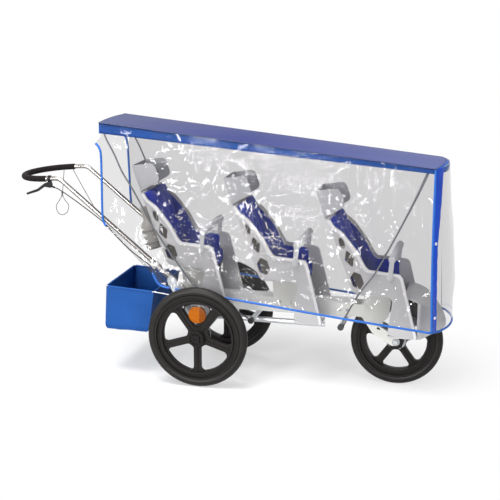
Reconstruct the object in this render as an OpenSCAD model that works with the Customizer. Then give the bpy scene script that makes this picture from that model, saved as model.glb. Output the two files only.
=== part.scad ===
// Three-seat in-line stroller with a tubular push handle and a clear rain cover.
// X runs forward, Y to the left, Z up. The origin is on the floor at the middle of the overall box.
// Distances along X in the sections below are measured from the rear axle.

/* [Wheels] */
// Outer diameter of the two rear wheels
rear_wheel_d = 500; // [480:1:510]
// Outer diameter of the front wheel
front_wheel_d = 452; // [440:1:460]
// Distance between the middle planes of the rear wheels
track = 552; // [548:1:580]
// Distance from the rear axle to the front axle
wheelbase = 932; // [928:1:936]
// Width of a tyre
tyre_w = 47; // [42:1:50]
// Height of tyre that shows above the rim edge
tyre_show = 37; // [34:1:42]
// Depth of the rim ring from its edge inwards
rim_depth = 38; // [30:1:42]
// Width of the rim ring
rim_w = 46; // [42:1:48]
// Width of the lip on each side of the rim's channel
rim_lip = 9; // [7:0.5:10]
// Depth of the channel in each face of the rim
rim_channel = 11; // [6:0.5:12]
// Number of spokes in a wheel
spoke_count = 5; // [4:1:6]
// Width of a spoke
spoke_w = 36; // [28:1:38]
// Thickness of the spoke web
web_t = 18; // [12:1:22]
// Diameter of a hub
hub_d = 76; // [70:1:84]
// Half length of a rear hub
hub_half = 28; // [26:1:30]
// Diameter of the axles
axle_d = 20; // [16:1:20]
// Outer diameter of a wheel bearing
bearing_d = 42; // [38:1:46]
// Width of a wheel bearing
bearing_w = 12; // [10:1:13]
// Thickness of a rear hub cap
cap_t = 8; // [6:1:10]
// Diameter of the round reflectors in the rear wheels
reflector_d = 86; // [84:1:90]
// Height of the reflectors between their flat ends
reflector_h = 82; // [70:1:84]
// Height of a reflector's centre above its hub
reflector_z = 113; // [110:1:116]
// Width of the reflector holder's frame
holder_w = 9; // [8:0.5:10]

/* [Frame] */
// Width of the main beam
beam_w = 90; // [86:1:94]
// Height of the main beam
beam_h = 75; // [70:1:78]
// Height of the top of the main beam above the floor
beam_top = 410; // [406:1:414]
// Wall of the main beam
beam_wall = 4; // [3:0.5:6]
// Length of the main beam behind the rear axle
beam_rear = 150; // [148:1:160]
// Distance of the beam's front end behind the front axle
beam_gap = 220; // [216:1:227]
// Diameter of the lower brace tube
brace_d = 28; // [24:1:30]
// Height of the brace tube above the floor
brace_z = 276; // [275:1:280]
// Distance of the brace tube's front end behind the front axle
brace_gap = 357; // [342:1:392]
// Length of the rear cross tube's section along X
rear_tube_l = 40; // [36:1:44]
// Height of the rear cross tube's section
rear_tube_h = 70; // [62:1:72]
// Distance of the rear cross tube's front face behind the rear axle
rear_tube_x = 15; // [14:1:18]
// Diameter of the two cross tubes that carry the cover poles
pole_tube_d = 24; // [22:1:26]
// Distance of the rear pole tube from the rear axle
pole_tube_rear = 243; // [238:1:248]
// Distance of the front pole tube behind the front axle
pole_tube_gap = 248; // [244:1:256]
// Distance from the end of a pole tube to the pole in its socket
socket_room = 11; // [9:1:12]
// Distance from a seat's rim to the middle of a cover pole
pole_room = 15; // [14:0.5:16]
// Diameter of a cover pole
pole_d = 8; // [6:0.5:8]
// Thickness of the rear side plates
plate_t = 6; // [5:0.5:6]
// Distance from the middle plane to the inner face of a side plate
plate_y = 203; // [203:0.5:204]
// Thickness of the front fork plates
fork_t = 6; // [5:0.5:7]
// Diameter of the frame bolts
bolt_d = 8; // [6:1:8]
// Height of a bolt head
bolt_head = 5; // [4:0.5:6]

/* [Seats] */
// Distance of the rear seat's reference point behind the rear axle
rear_seat_x = 167; // [164:1:168]
// Height of the rear seat's reference point
rear_seat_z = 634; // [630:1:638]
// Distance of the middle seat's reference point from the rear axle
middle_seat_x = 298; // [294:1:302]
// Height of the middle seat's reference point
middle_seat_z = 591; // [588:1:595]
// Distance of the front seat's reference point from the rear axle
front_seat_x = 754; // [750:1:758]
// Height of the front seat's reference point
front_seat_z = 551; // [548:1:554]
// Outer width of a seat shell
seat_w = 310; // [306:1:312]
// Wall of a seat shell
shell_wall = 8; // [6:0.5:9]
// Height of the rim that runs along the front edge of a shell's sides
rim_rise = 6; // [4:0.5:6]
// Width of that rim
rim_strip = 14; // [10:1:16]
// Depth of the seat pan below the reference point
pan_depth = 70; // [68:1:72]
// Width of a headrest
headrest_w = 184; // [170:1:196]
// Thickness of a headrest plate
headrest_t = 5; // [4:0.5:6]
// Height of a headrest plate
headrest_h = 145; // [135:1:150]
// Wall of a seat bracket
bracket_wall = 5; // [4:0.5:6]
// Diameter of the padded lap bar
lap_bar_d = 36; // [30:1:40]
// Height of the lap bar above its hinge
lap_bar_rise = 88; // [84:1:92]
// Diameter of the lap bar's hinge pins
lap_pin_d = 10; // [8:1:11]
// Thickness of the lap bar's posts
lap_post_t = 5; // [4:0.5:5]

/* [Cushions] */
// Thickness of a back cushion at its edge
back_pad_t = 24; // [18:1:28]
// Thickness of a seat cushion at its edge
seat_pad_t = 26; // [20:1:30]
// Room between a cushion and the side wall of its shell
pad_room = 19; // [12:1:27]
// Height of the crown of a cushion
pad_crown = 12; // [6:1:14]
// Depth of the sewn channels in a cushion
channel_depth = 7; // [4:1:9]
// Thickness of a cushion's side wing
wing_t = 11; // [8:0.5:11]

/* [Handle] */
// Diameter of the handle tube
handle_d = 22; // [20:0.5:22]
// Distance from the middle plane to a handle side tube
handle_y = 185; // [184.5:0.5:185.5]
// Slope of the handle side tubes, in degrees
handle_slope = 39.5; // [39:0.5:40]
// Droop of the hand loop towards the rear, in degrees
loop_droop = 4; // [3:0.5:5]
// Distance of the hand loop's centre behind the rear axle
loop_x = 796; // [790:1:802]
// Radius of the bend between side tube and hand loop
bend_r = 60; // [45:1:70]
// Diameter of the foam grip
grip_d = 30; // [28:1:33]
// Distance of the handle's bolt behind the rear axle
socket_x = 147; // [145:1:149]
// Height of the handle's bolt above the floor
socket_z = 503; // [501:1:505]
// Outer diameter of the handle sleeves
sleeve_d = 30; // [28:1:30]
// Length of a sleeve above its bolt
sleeve_up = 104; // [100:1:110]
// Length of a sleeve below its bolt
sleeve_down = 80; // [70:1:82]
// Length of handle tube below the bolt
tube_down = 40; // [36:1:44]
// Length of the slot in which the handle's peg runs
slot_l = 77; // [74:1:82]
// Width of that slot
slot_w = 9; // [8.5:0.5:10]
// Length of the clamping collars
collar_l = 18; // [14:1:20]
// Diameter of the clamping collars
collar_d = 38; // [35:1:38]

/* [Basket] */
// Length of the basket along its rim
basket_l = 247; // [235:1:255]
// Width of the basket
basket_w = 420; // [400:1:424]
// Height of the basket
basket_h = 211; // [200:1:216]
// Height of the basket's rim at its front
basket_top = 438; // [434:1:442]
// Distance of the basket's front side behind the rear axle
basket_front = 243; // [240:1:250]
// Wall of the basket
basket_wall = 3; // [2:0.5:4]
// Diameter of the basket's wire frame
wire_d = 6; // [5:0.5:6]

/* [Cover] */
// Distance of the roof's rear edge behind the rear axle
roof_rear = 516; // [512:1:520]
// Height of the roof's rear edge above the floor
roof_z = 1265; // [1262:1:1268]
// Slope of the roof down to the front, in degrees
roof_slope = 5.66; // [5.5:0.02:5.8]
// Length of the roof's side edges
roof_l = 1630; // [1626:1:1634]
// Distance from the middle of a pole to the cover's side at the roof
cover_room = 4; // [4:0.5:6]
// Flare of the cover's sides, in degrees
side_flare = 3.18; // [3.1:0.02:3.4]
// Height of the cover's sides along their slope
side_h = 752; // [748:1:756]
// Lean of the front edge from roof to hem, along the roof
front_lean = 93; // [88:1:98]
// Distance of the front panel's foremost point from the rear axle
cover_reach = 1202; // [1196:1:1208]
// Crown of the roof
roof_crown = 14; // [8:1:18]
// Thickness of the cover's sheet
sheet_t = 1.5; // [1:0.5:2]
// Depth of the roof's side band at the rear
band_rear = 53; // [45:1:58]
// Depth of the roof's side band at the front
band_front = 24; // [18:1:30]
// Diameter of the piping
piping_d = 11; // [8:0.5:12]
// Width of the zip strip at the right front corner
zip_w = 34; // [28:1:34]
// Thickness of the zip strip
zip_t = 2; // [1.5:0.5:3]

/* [Brake] */
// Diameter of the brake plate
brake_plate_d = 104; // [98:1:108]
// Diameter of the brake drum on the right rear hub
drum_d = 96; // [90:1:96]
// Diameter of the brake cable
cable_d = 5; // [4:0.5:5]
// Thickness of the brake lever
lever_t = 10; // [8:1:12]
// Diameter of the lever's pin
lever_pin_d = 6; // [5:0.5:6]
// Diameter of the hand cords
cord_d = 3; // [2.5:0.5:3]

/* [Bottle] */
// Diameter of the drink bottle
bottle_d = 75; // [70:1:78]
// Diameter of its cap
bottle_cap_d = 40; // [36:1:44]
// Distance of the bottle's lower end behind the rear axle
bottle_x = 306; // [304:1:310]
// Height of the bottle's lower end above the floor
bottle_z = 616; // [612:1:620]
// Lean of the bottle, in degrees
bottle_lean = 14.5; // [13:0.5:16]

/* [Hidden] */

$fn = 48;
// Running clearance on a radius, seat clearance, and the gap between a soft piece and its seat
run_gap = 0.05;
seat_gap = 0.2;
soft_gap = 0.4;

rear_r = rear_wheel_d / 2;
front_r = front_wheel_d / 2;
rear_y = track / 2;
handle_r = handle_d / 2;
grip_r = grip_d / 2;
beam_half = beam_w / 2;
beam_bottom = beam_top - beam_h;
shell_half = seat_w / 2;
pad_w = seat_w - 2 * (shell_wall + pad_room);
pole_y = shell_half + rim_rise + pole_room;
pole_tube_half = pole_y - socket_room;
roof_half = pole_y + cover_room;
beam_front = wheelbase - beam_gap;
brace_reach = wheelbase - brace_gap;
pole_tube_front = wheelbase - pole_tube_gap;
plate_out = plate_y + plate_t;
pole_tube_z = beam_bottom - pole_tube_d / 2 - 0.3;
front_hub = beam_half - 0.5;
fork_out = beam_half + fork_t;
bracket_out = beam_half + bracket_wall;
outer_bearing = 8;
// Reach of the handle behind the rear axle, and the place of the rear axle in the part's frame
rear_reach = loop_x + handle_y * cos(loop_droop) + grip_r;
rear_axle_x = (rear_reach - cover_reach) / 2;
// Seats, as reference points in the XZ plane
seats = [[-rear_seat_x, rear_seat_z], [middle_seat_x, middle_seat_z], [front_seat_x, front_seat_z]];

// Unit vector
function unit(v) = v / norm(v);
// Arc of radius r that rounds the corner b between a and c, with n steps
function corner_arc(a, b, c, r, n) =
    let (u = unit(a - b), v = unit(c - b), half = acos(u * v) / 2, o = b + unit(u + v) * r / sin(half),
         s = b + u * r / tan(half) - o, e = b + v * r / tan(half) - o,
         turn = (180 - 2 * half) * sign(cross(s, e)))
    [for (i = [0:n]) let (t = turn * i / n) o + [s.x * cos(t) - s.y * sin(t), s.x * sin(t) + s.y * cos(t)]];
// Outline through corners given as [x, y, radius]
function rounded(corners, n = 5) =
    [for (i = [0:len(corners) - 1])
        let (a = corners[(i + len(corners) - 1) % len(corners)], b = corners[i],
            c = corners[(i + 1) % len(corners)])
        each (b[2] > 0 ? corner_arc([a.x, a.y], [b.x, b.y], [c.x, c.y], b[2], n) : [[b.x, b.y]])];
// Smooth curve through a list of points, with n steps between two of them
function through(p, n) = [for (i = [0:len(p) - 2]) let (a = p[max(i - 1, 0)], b = p[i], c = p[i + 1],
        d = p[min(i + 2, len(p) - 1)])
        for (k = [0:(i == len(p) - 2 ? n : n - 1)]) let (t = k / n)
        0.5 * (2 * b + (c - a) * t + (2 * a - 5 * b + 4 * c - d) * t * t + (3 * b - a - 3 * c + d) * t * t * t)];
// Mirror image of a list of points across the middle plane
function mirrored(p) = [for (q = p) [q.x, -q.y, q.z]];

// Everything is placed from the rear axle
module from_axle() {
    translate([rear_axle_x, 0, 0]) children();
}
// A piece and its mirror image across the middle plane
module both_sides() {
    children();
    mirror([0, 1, 0]) children();
}
// A profile in the XZ plane, made thick from y0 to y1
module upright(y0, y1) {
    translate([0, y1, 0]) rotate([90, 0, 0]) linear_extrude(y1 - y0) children();
}
// Cylinder along Y from y0 to y1
module cross_rod(d, y0, y1) {
    translate([0, y0, 0]) rotate([-90, 0, 0]) cylinder(d = d, h = y1 - y0);
}
// Cylinder from a to b
module rod(a, b, d) {
    v = b - a;
    translate(a) rotate([0, acos(v.z / norm(v)), atan2(v.y, v.x)]) cylinder(d = d, h = norm(v));
}
// Two circles joined by their common tangents
module capsule(a, ra, b, rb) {
    v = b - a;
    t = atan2(v.y, v.x);
    p = acos((ra - rb) / norm(v));
    translate(a) circle(ra);
    translate(b) circle(rb);
    polygon([a + ra * [cos(t + p), sin(t + p)], b + rb * [cos(t + p), sin(t + p)],
        b + rb * [cos(t - p), sin(t - p)], a + ra * [cos(t - p), sin(t - p)]]);
}
// Round tube swept along a path, whose side vectors lie square to ref
module tube_along(path, d, ref, sides = 8) {
    rings = len(path);
    points = [for (i = [0:rings - 1])
        let (t = unit(path[min(i + 1, rings - 1)] - path[max(i - 1, 0)]), s = unit(cross(t, ref)), w = cross(s, t))
        for (k = [0:sides - 1]) path[i] + d / 2 * (cos(360 * k / sides) * s + sin(360 * k / sides) * w)];
    walls = [for (i = [0:rings - 2], k = [0:sides - 1])
        let (a = i * sides + k, b = i * sides + (k + 1) % sides)
        each [[a, b, b + sides], [a, b + sides, a + sides]]];
    first = [for (k = [1:sides - 2]) [0, k + 1, k]];
    last = [for (k = [1:sides - 2]) [0, k, k + 1] + (rings - 1) * sides * [1, 1, 1]];
    polyhedron(points, concat(first, walls, last));
}
// Closed solid between a grid of points and a second grid of the same size behind it
module between(grid, other) {
    rows = len(grid);
    cols = len(grid[0]);
    count = rows * cols;
    face = [for (i = [0:rows - 2], j = [0:cols - 2]) let (a = i * cols + j, b = a + 1, c = b + cols, d = a + cols)
        each [[a, b, c], [a, c, d]]];
    rear = [for (f = face) [f[2], f[1], f[0]] + count * [1, 1, 1]];
    rim = concat([for (j = [0:cols - 2]) [j, j + 1]],
        [for (i = [0:rows - 2]) [i, i + 1] * cols + (cols - 1) * [1, 1]],
        [for (j = [0:cols - 2]) [count - 1 - j, count - 2 - j]], [for (i = [rows - 1:-1:1]) [i, i - 1] * cols]);
    edge = [for (r = rim) each [[r[1], r[0], r[0] + count], [r[1], r[0] + count, r[1] + count]]];
    polyhedron(concat([for (row = grid) each row], [for (row = other) each row]), concat(face, rear, edge));
}

// Frame: a beam under the seats, a brace below it, cross tubes, side plates and axles
module bolt_places(x, z) {
    for (p = x) translate([p, 0, z]) children();
}
bracket_bolts = [60, 120];
fork_bolts = [wheelbase - 274, wheelbase - 238];
bracket_bolt_z = beam_top - 20;
fork_bolt_z = beam_top - 38;
module main_beam() {
    from_axle() color("#b9bcc0") difference() {
        translate([-beam_rear, -beam_half, beam_bottom]) cube([beam_rear + beam_front, beam_w, beam_h]);
        translate([-beam_rear - 1, -beam_half + beam_wall, beam_bottom + beam_wall])
            cube([beam_rear + beam_front + 2, beam_w - 2 * beam_wall, beam_h - 2 * beam_wall]);
        for (s = [seats[0].x, seats[1].x]) bolt_places([for (b = bracket_bolts) s + b], bracket_bolt_z)
            cross_rod(bolt_d + 2 * seat_gap, -beam_w, beam_w);
        bolt_places(fork_bolts, fork_bolt_z) cross_rod(bolt_d + 2 * seat_gap, -beam_w, beam_w);
    }
}
module brace_tube() {
    from_axle() color("#b9bcc0") difference() {
        union() {
            rod([-rear_tube_x, 0, brace_z], [brace_reach, 0, brace_z], brace_d);
            for (x = [100, brace_reach - 35]) translate([x, -8, brace_z])
                cube([35, 16, beam_bottom - brace_z]);
        }
        rod([-rear_tube_x - 1, 0, brace_z], [brace_reach - 3, 0, brace_z], brace_d - 6);
    }
}
module rear_cross_tube() {
    from_axle() color("#b9bcc0") translate([-rear_tube_x - rear_tube_l, 0, beam_bottom - rear_tube_h])
        difference() {
        translate([0, -plate_y, 0]) cube([rear_tube_l, 2 * plate_y, rear_tube_h]);
        translate([4, -plate_y - 1, 4]) cube([rear_tube_l - 8, 2 * plate_y + 2, rear_tube_h - 8]);
    }
}
// Unit vector up along a handle side tube, and a point on its axis at distance s from the bolt
tube_dir = [-cos(handle_slope), 0, sin(handle_slope)];
function on_tube(s, y) = [-socket_x, y, socket_z] + s * tube_dir;
sleeve_bolts = [0, -32];
module side_plates() {
    from_axle() color("#c4c6c8") both_sides() difference() {
        upright(plate_y, plate_out) capsule([-150, 505], 22, [0, rear_r], 32);
        translate([0, 0, rear_r]) cross_rod(axle_d + 2 * seat_gap, plate_y - 1, plate_out + 1);
        for (s = sleeve_bolts) translate(on_tube(s, 0))
            cross_rod(bolt_d + 2 * seat_gap, plate_y - 1, plate_out + 1);
    }
}
shoulder_out = rear_y - hub_half + 0.3;
axle_end = rear_y + hub_half - 2;
module axles() {
    color("#9a9da1") from_axle() {
        translate([0, 0, rear_r]) {
            cross_rod(axle_d, -axle_end, axle_end);
            both_sides() cross_rod(axle_d + 8, plate_out, shoulder_out);
        }
        translate([wheelbase, 0, front_r]) cross_rod(axle_d, -fork_out - 8, fork_out + 8);
    }
}
module pole_tubes() {
    from_axle() color("#8d8f93") for (x = [pole_tube_rear, pole_tube_front]) translate([x, 0, pole_tube_z])
        difference() {
            cross_rod(pole_tube_d, -pole_tube_half, pole_tube_half);
            cross_rod(pole_tube_d - 4, -pole_tube_half - 1, pole_tube_half + 1);
        }
}
// Cover poles, as points from the socket upwards
rear_pole = [[pole_tube_rear, pole_y, pole_tube_z] + 7 * unit([-278, 0, 152]), [104, pole_y, 399],
    [-35, pole_y, 475], [-65, pole_y, 501], [-145, pole_y, 609], [-183, pole_y, 661], [-275, pole_y, 801],
    [-304, pole_y, 859], [-358, pole_y, 955], [-403, pole_y, 1027], [-441, pole_y - 1, 1111],
    [-483, pole_y - 2, 1190], [-505, pole_y - 4, 1261.5]];
front_pole = [[pole_tube_front, pole_y, pole_tube_z] + 7 * unit([22, 0, 60]), [704, pole_y, 372],
    [768, pole_y, 493], [841, pole_y, 598], [895, pole_y, 701], [999, pole_y, 920], [1060, pole_y - 2, 1068],
    [1072, pole_y - 4, 1104.9]];
module pole_sockets() {
    from_axle() color("#262626") both_sides() {
        for (p = [[pole_tube_rear, unit([-278, 0, 152])], [pole_tube_front, unit([22, 0, 60])]])
            translate([p[0], 0, pole_tube_z]) difference() {
                union() {
                    cross_rod(pole_tube_d - 4 - 2 * seat_gap, pole_tube_half - 20, pole_tube_half);
                    cross_rod(pole_tube_d + 6, pole_tube_half, pole_y + 11);
                }
                rod([0, pole_y, 0] + 6.5 * p[1], [0, pole_y, 0] + 30 * p[1], pole_d + 1);
            }
    }
}
// Off-white U brackets that stand astride the beam and carry a seat pan
module seat_bracket(s) {
    top = s[1] - pan_depth;
    color("#cfcfc9") translate([s[0], 0, 0]) difference() {
        union() {
            both_sides() upright(beam_half, bracket_out)
                polygon([[30, beam_top - 35], [148, beam_top - 35], [158, top], [20, top]]);
            translate([20, -bracket_out, top - bracket_wall]) cube([138, 2 * bracket_out, bracket_wall]);
        }
        bolt_places(bracket_bolts, bracket_bolt_z) cross_rod(bolt_d + 2 * seat_gap, -beam_w, beam_w);
    }
}
module rear_seat_bracket() from_axle() seat_bracket(seats[0]);
module middle_seat_bracket() from_axle() seat_bracket(seats[1]);
// Fork plates on both sides of the beam, joined by the front seat's top plate
fork_top = front_seat_z - pan_depth;
// Outline of a fork plate, with x from the front axle
fork_outline = rounded([[-292, 342, 8], [-292, 403, 8], [-162, 403, 10], [-154, fork_top, 0], [-20, fork_top, 0],
    [-36, 352, 20], [-82, 303, 12], [18, 243, 18], [14, 210, 16], [-18, 206, 14], [-112, 262, 6], [-167, 342, 14]]);
module front_fork() {
    from_axle() color("#cfcfc9") difference() {
        union() {
            both_sides() upright(beam_half, fork_out) translate([wheelbase, 0]) polygon(fork_outline);
            translate([wheelbase - 154, -fork_out, fork_top - bracket_wall])
                cube([134, 2 * fork_out, bracket_wall]);
        }
        bolt_places(fork_bolts, fork_bolt_z) cross_rod(bolt_d + 2 * seat_gap, -beam_w, beam_w);
        translate([wheelbase, 0, front_r]) cross_rod(axle_d + 2 * seat_gap, -beam_w, beam_w);
        upright(-beam_w, beam_w) translate([wheelbase, 0])
            polygon(rounded([[-94, 286, 3], [-70, 280, 3], [-86, 301, 3]]));
    }
}
// Sleeves that hold the handle's side tubes, with bosses against the side plates
module along_tube(y) {
    translate(on_tube(0, y)) rotate([0, handle_slope - 90, 0]) children();
}
slot_start = 10;
module handle_sleeves() {
    from_axle() color("#c9cacb") both_sides() difference() {
        union() {
            along_tube(handle_y) translate([0, 0, -sleeve_down])
                cylinder(d = sleeve_d, h = sleeve_down + sleeve_up);
            for (s = sleeve_bolts) translate(on_tube(s, 0)) cross_rod(20, handle_y, plate_y);
        }
        along_tube(handle_y) translate([0, 0, -sleeve_down - 1])
            cylinder(d = handle_d + 2 * run_gap, h = sleeve_down + sleeve_up + 2);
        along_tube(handle_y) {
            translate([-slot_w / 2, 0, slot_start + slot_w / 2]) cube([slot_w, 30, slot_l - slot_w]);
            for (z = [slot_start + slot_w / 2, slot_start + slot_l - slot_w / 2]) translate([0, 0, z])
                cross_rod(slot_w, 0, 30);
        }
        for (s = sleeve_bolts) translate(on_tube(s, 0))
            cross_rod(bolt_d + 2 * seat_gap, handle_y + 12, plate_y + 1);
    }
}
module sleeve_collars() {
    from_axle() color("#7d8083") both_sides() along_tube(handle_y) translate([0, 0, sleeve_up]) difference() {
        union() {
            cylinder(d = collar_d, h = collar_l);
            translate([-24, -6, 2]) cube([8, 12, collar_l - 4]);
        }
        translate([0, 0, -1]) cylinder(d = handle_d + 2 * run_gap, h = collar_l + 2);
    }
}
// Bolts with round heads; the longer ones pass right through the beam
module through_bolt(half) {
    cross_rod(bolt_d, -half - bolt_head, half + bolt_head);
    both_sides() cross_rod(bolt_d + 7, half, half + bolt_head);
}
module frame_bolts() {
    from_axle() color("#8a8c90") {
        for (s = [seats[0].x, seats[1].x]) bolt_places([for (b = bracket_bolts) s + b], bracket_bolt_z)
            through_bolt(bracket_out);
        bolt_places(fork_bolts, fork_bolt_z) through_bolt(fork_out);
        both_sides() for (s = sleeve_bolts) translate(on_tube(s, 0)) {
            cross_rod(bolt_d, handle_y + 12.5, plate_out + 1);
            cross_rod(bolt_d + 5, plate_out, plate_out + bolt_head - 1);
        }
        both_sides() translate([wheelbase, 0, front_r]) difference() {
            cross_rod(axle_d + 10, fork_out, fork_out + 7);
            cross_rod(axle_d + 2 * seat_gap, fork_out - 1, fork_out + 9);
        }
        both_sides() translate([0, 0, rear_r]) difference() {
            cross_rod(axle_d + 10, axle_end - 5.5, axle_end - 0.5);
            cross_rod(axle_d + 2 * seat_gap, axle_end - 9, axle_end + 1);
        }
    }
}

// Seats
shell_outline = rounded([[-150, 290, 6], [-134, 288, 6], [-114, 257, 16], [-70, 227, 60], [0, 140, 80], [38, 72, 30],
    [54, 55, 20],
    [212, 42, 30], [293, -272, 12], [150, -258, 12], [172, -pan_depth, 25], [-16, -pan_depth, 45]]);
back_lean = atan2(134, 360);
back_step = shell_wall / cos(back_lean);
shell_spine = rounded([[-150, 290, 0], [-16, -pan_depth, 45], [186, -pan_depth, 0], [186, -pan_depth + shell_wall, 0],
    [-16 + back_step - shell_wall * tan(back_lean), -pan_depth + shell_wall, 37], [-150 + back_step, 290, 0]]);
lap_x = 157;
lap_z = 26;
module leaning(x, z) {
    translate([x, z]) rotate(back_lean) children();
}
module seat_shell(s) {
    color("#c4c3c5") translate([s[0], 0, s[1]]) difference() {
        union() {
            both_sides() {
                upright(shell_half - shell_wall, shell_half) polygon(shell_outline);
                upright(shell_half - 1, shell_half + rim_rise) difference() {
                    polygon(shell_outline);
                    translate([-rim_strip, -rim_strip] * 0.8) polygon(shell_outline);
                }
                translate([150, 60, -272]) cube([138, shell_half - 61, 10]);
                translate([lap_x, 0, lap_z]) cross_rod(28, shell_half - 1, shell_half + rim_rise);
            }
            upright(-shell_half + 1, shell_half - 1) polygon(shell_spine);
        }
        upright(-seat_w, seat_w) {
            leaning(-77, 178) polygon([for (a = [0:20:340]) [13 * cos(a), 27.5 * sin(a)]]);
            leaning(-39, 104) polygon(rounded([[24, 0, 6], [0, 48, 6], [-24, 0, 6], [0, -48, 6]]));
            leaning(0, 0) polygon(rounded([[27.5, 22, 8], [0, 46, 6], [-27.5, 22, 8], [-27.5, -22, 8], [0, -46, 6],
                [27.5, -22, 8]]));
        }
        translate([lap_x, 0, lap_z]) cross_rod(lap_pin_d + 2 * run_gap, -seat_w, seat_w);
    }
}
module rear_seat_shell() from_axle() seat_shell(seats[0]);
module middle_seat_shell() from_axle() seat_shell(seats[1]);
module front_seat_shell() from_axle() seat_shell(seats[2]);
// Place just behind the shell's back at a height z
function back_x(z) = -16 - (z + pan_depth) * tan(back_lean) - soft_gap;
// Headrest with two wings, held behind the shell's back by a tail
module headrest(s) {
    half = headrest_w / 2;
    color("#b4b5b7") translate([s[0], 0, s[1]]) {
        translate([-170, 0, 274]) rotate([0, -18.42, 0]) {
            translate([0, -half, 0]) cube([headrest_t, headrest_w, headrest_h]);
            both_sides() upright(half - headrest_t, half)
                polygon(rounded([[0, 10, 0], [114, 34, 26], [112, 126, 26], [0, headrest_h, 0]]));
        }
        upright(-40, 40) polygon([[back_x(280), 280], [back_x(200), 200], [back_x(200) - 16, 194], [-170, 274],
            [-177.9, 297.7], [-173.2, 299.3]]);
    }
}
module rear_headrest() from_axle() headrest(seats[0]);
module middle_headrest() from_axle() headrest(seats[1]);
module front_headrest() from_axle() headrest(seats[2]);
// Padded cushion: crowned top, drawn-in sides and sewn channels that run along its length
function pad_grid(l, w, t) = [for (i = [0:10]) [for (j = [0:12])
    let (u = i / 10, v = j / 6 - 1, half = w / 2 * (1 - 0.04 * sin(180 * u)),
        rise = pad_crown * (1 - pow(v, 4)) * (1 - pow(2 * u - 1, 4)),
        dip = channel_depth * (1 - pow(2 * u - 1, 4)) * max(0, 1 - abs(abs(v) - 0.333) * 5))
    [l * u, half * v, t + rise - dip]]];
module pad(l, w, t) {
    top = pad_grid(l, w, t);
    between(top, [for (row = top) [for (p = row) [p.x, p.y, 0]]]);
}
// Side wing of a cushion on the shell's wall, and the apron that hangs over the pan's front edge
pan_top = -pan_depth + shell_wall;
wing_outline = rounded([[-118, 247, 10], [-70, 209, 60], [-30, 166, 60], [2, 120, 40], [22, 76, 30], [44, 44, 20],
    [160, 34, 24], [168, -58, 10], [20, -58, 20], [-6, -30, 20], [-112, 236, 6]]);
apron_outline = rounded([[170.5, pan_top + soft_gap, 0], [170.5, -32, 6], [189.8, -36, 14], [189.8, -98, 1.5],
    [186.4, -98, 1.5], [186.4, pan_top + soft_gap, 0]]);
module cushions(s) {
    color("#1e2f88") translate([s[0], 0, s[1]]) {
        translate([16, 0, pan_top + soft_gap]) pad(154, pad_w, seat_pad_t);
        translate([-16 + back_step - shell_wall * tan(back_lean), 0, pan_top])
            rotate([0, 90 - back_lean, 0]) rotate([0, 0, 180]) translate([52, 0, soft_gap])
                pad(308, pad_w - 6, back_pad_t);
        both_sides() upright(shell_half - shell_wall - soft_gap - wing_t, shell_half - shell_wall - soft_gap)
            polygon(wing_outline);
        upright(-pad_w / 2, pad_w / 2) polygon(apron_outline);
    }
}
module rear_cushions() from_axle() cushions(seats[0]);
module middle_cushions() from_axle() cushions(seats[1]);
module front_cushions() from_axle() cushions(seats[2]);
// Outline of the nose seen from above, drawn in by inset
function nose_plan(half, inset) = let (
    side = [[975, half - inset, 0], [1056 - 0.4 * inset, half - inset, 20],
        [1150 - 0.8 * inset, 52 - 0.6 * inset, 40]])
    rounded(concat([for (q = side) [q.x, -q.y, q.z]], [[1172 - inset, 0, 60]], [for (i = [2:-1:0]) side[i]]));
// Grey fender between the front seat's leg guards, over the front wheel
module foot_nose() {
    inner = shell_half - shell_wall - soft_gap;
    floor_z = front_seat_z - 262;
    plan = nose_plan(inner, 0);
    from_axle() color("#aeafb1") {
        intersection() {
            translate([wheelbase, 0, front_r]) difference() {
                cross_rod(520, -inner, inner, $fn = 96);
                cross_rod(512, -inner - 1, inner + 1, $fn = 96);
            }
            translate([0, 0, floor_z]) linear_extrude(300) polygon(plan);
        }
        // Floor lip on each side of the wheel, from the foot floor forward and up
        intersection() {
            both_sides() upright(34, inner) polygon([[1042.4, floor_z - 10], [1062, floor_z - 10],
                [1172, floor_z + 28], [1172, floor_z + 36], [1060, floor_z - 2], [1042.4, floor_z - 2]]);
            translate([0, 0, floor_z - 20]) linear_extrude(100) polygon(plan);
        }
        // Bow wall that closes the nose between its lip and its arch
        intersection() {
            translate([0, 0, floor_z - 20]) linear_extrude(300) difference() {
                polygon(plan);
                polygon(nose_plan(inner, 4));
            }
            translate([wheelbase, 0, front_r]) cross_rod(514, -inner, inner, $fn = 96);
            upright(-inner - 1, inner + 1) polygon([[1042.4, floor_z - 8], [1062, floor_z - 8],
                [1173, floor_z + 30], [1173, floor_z + 280], [1042.4, floor_z + 280]]);
        }
    }
}
// Lap bar: a padded roller on two posts that swing forward about pins in the shell
lap_in = shell_half + rim_rise + 0.3;
lap_top = [7, lap_bar_rise];
module lap_bar(s) {
    end = lap_in + lap_post_t;
    color("#8f9194") translate([s[0] + lap_x, 0, s[1] + lap_z]) {
        both_sides() {
            upright(lap_in, end) capsule([0, 0], 11, lap_top, 11);
            cross_rod(lap_pin_d, shell_half - shell_wall + 1, end);
        }
        translate([lap_top.x, 0, lap_top.y]) rotate([90, 0, 0]) rotate_extrude()
            polygon(concat([[0, -end - 1.5]], rounded([[lap_bar_d / 2, -end - 1.5, 8], [lap_bar_d / 2, end + 1.5, 8],
                [0, end + 1.5, 0], [0, -end - 1.5, 0]])));
    }
}
module rear_lap_bar() from_axle() lap_bar(seats[0]);
module middle_lap_bar() from_axle() lap_bar(seats[1]);
module front_lap_bar() from_axle() lap_bar(seats[2]);

// Handle
loop_z = 978;
loop_dir = [-cos(loop_droop), 0, -sin(loop_droop)];
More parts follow.
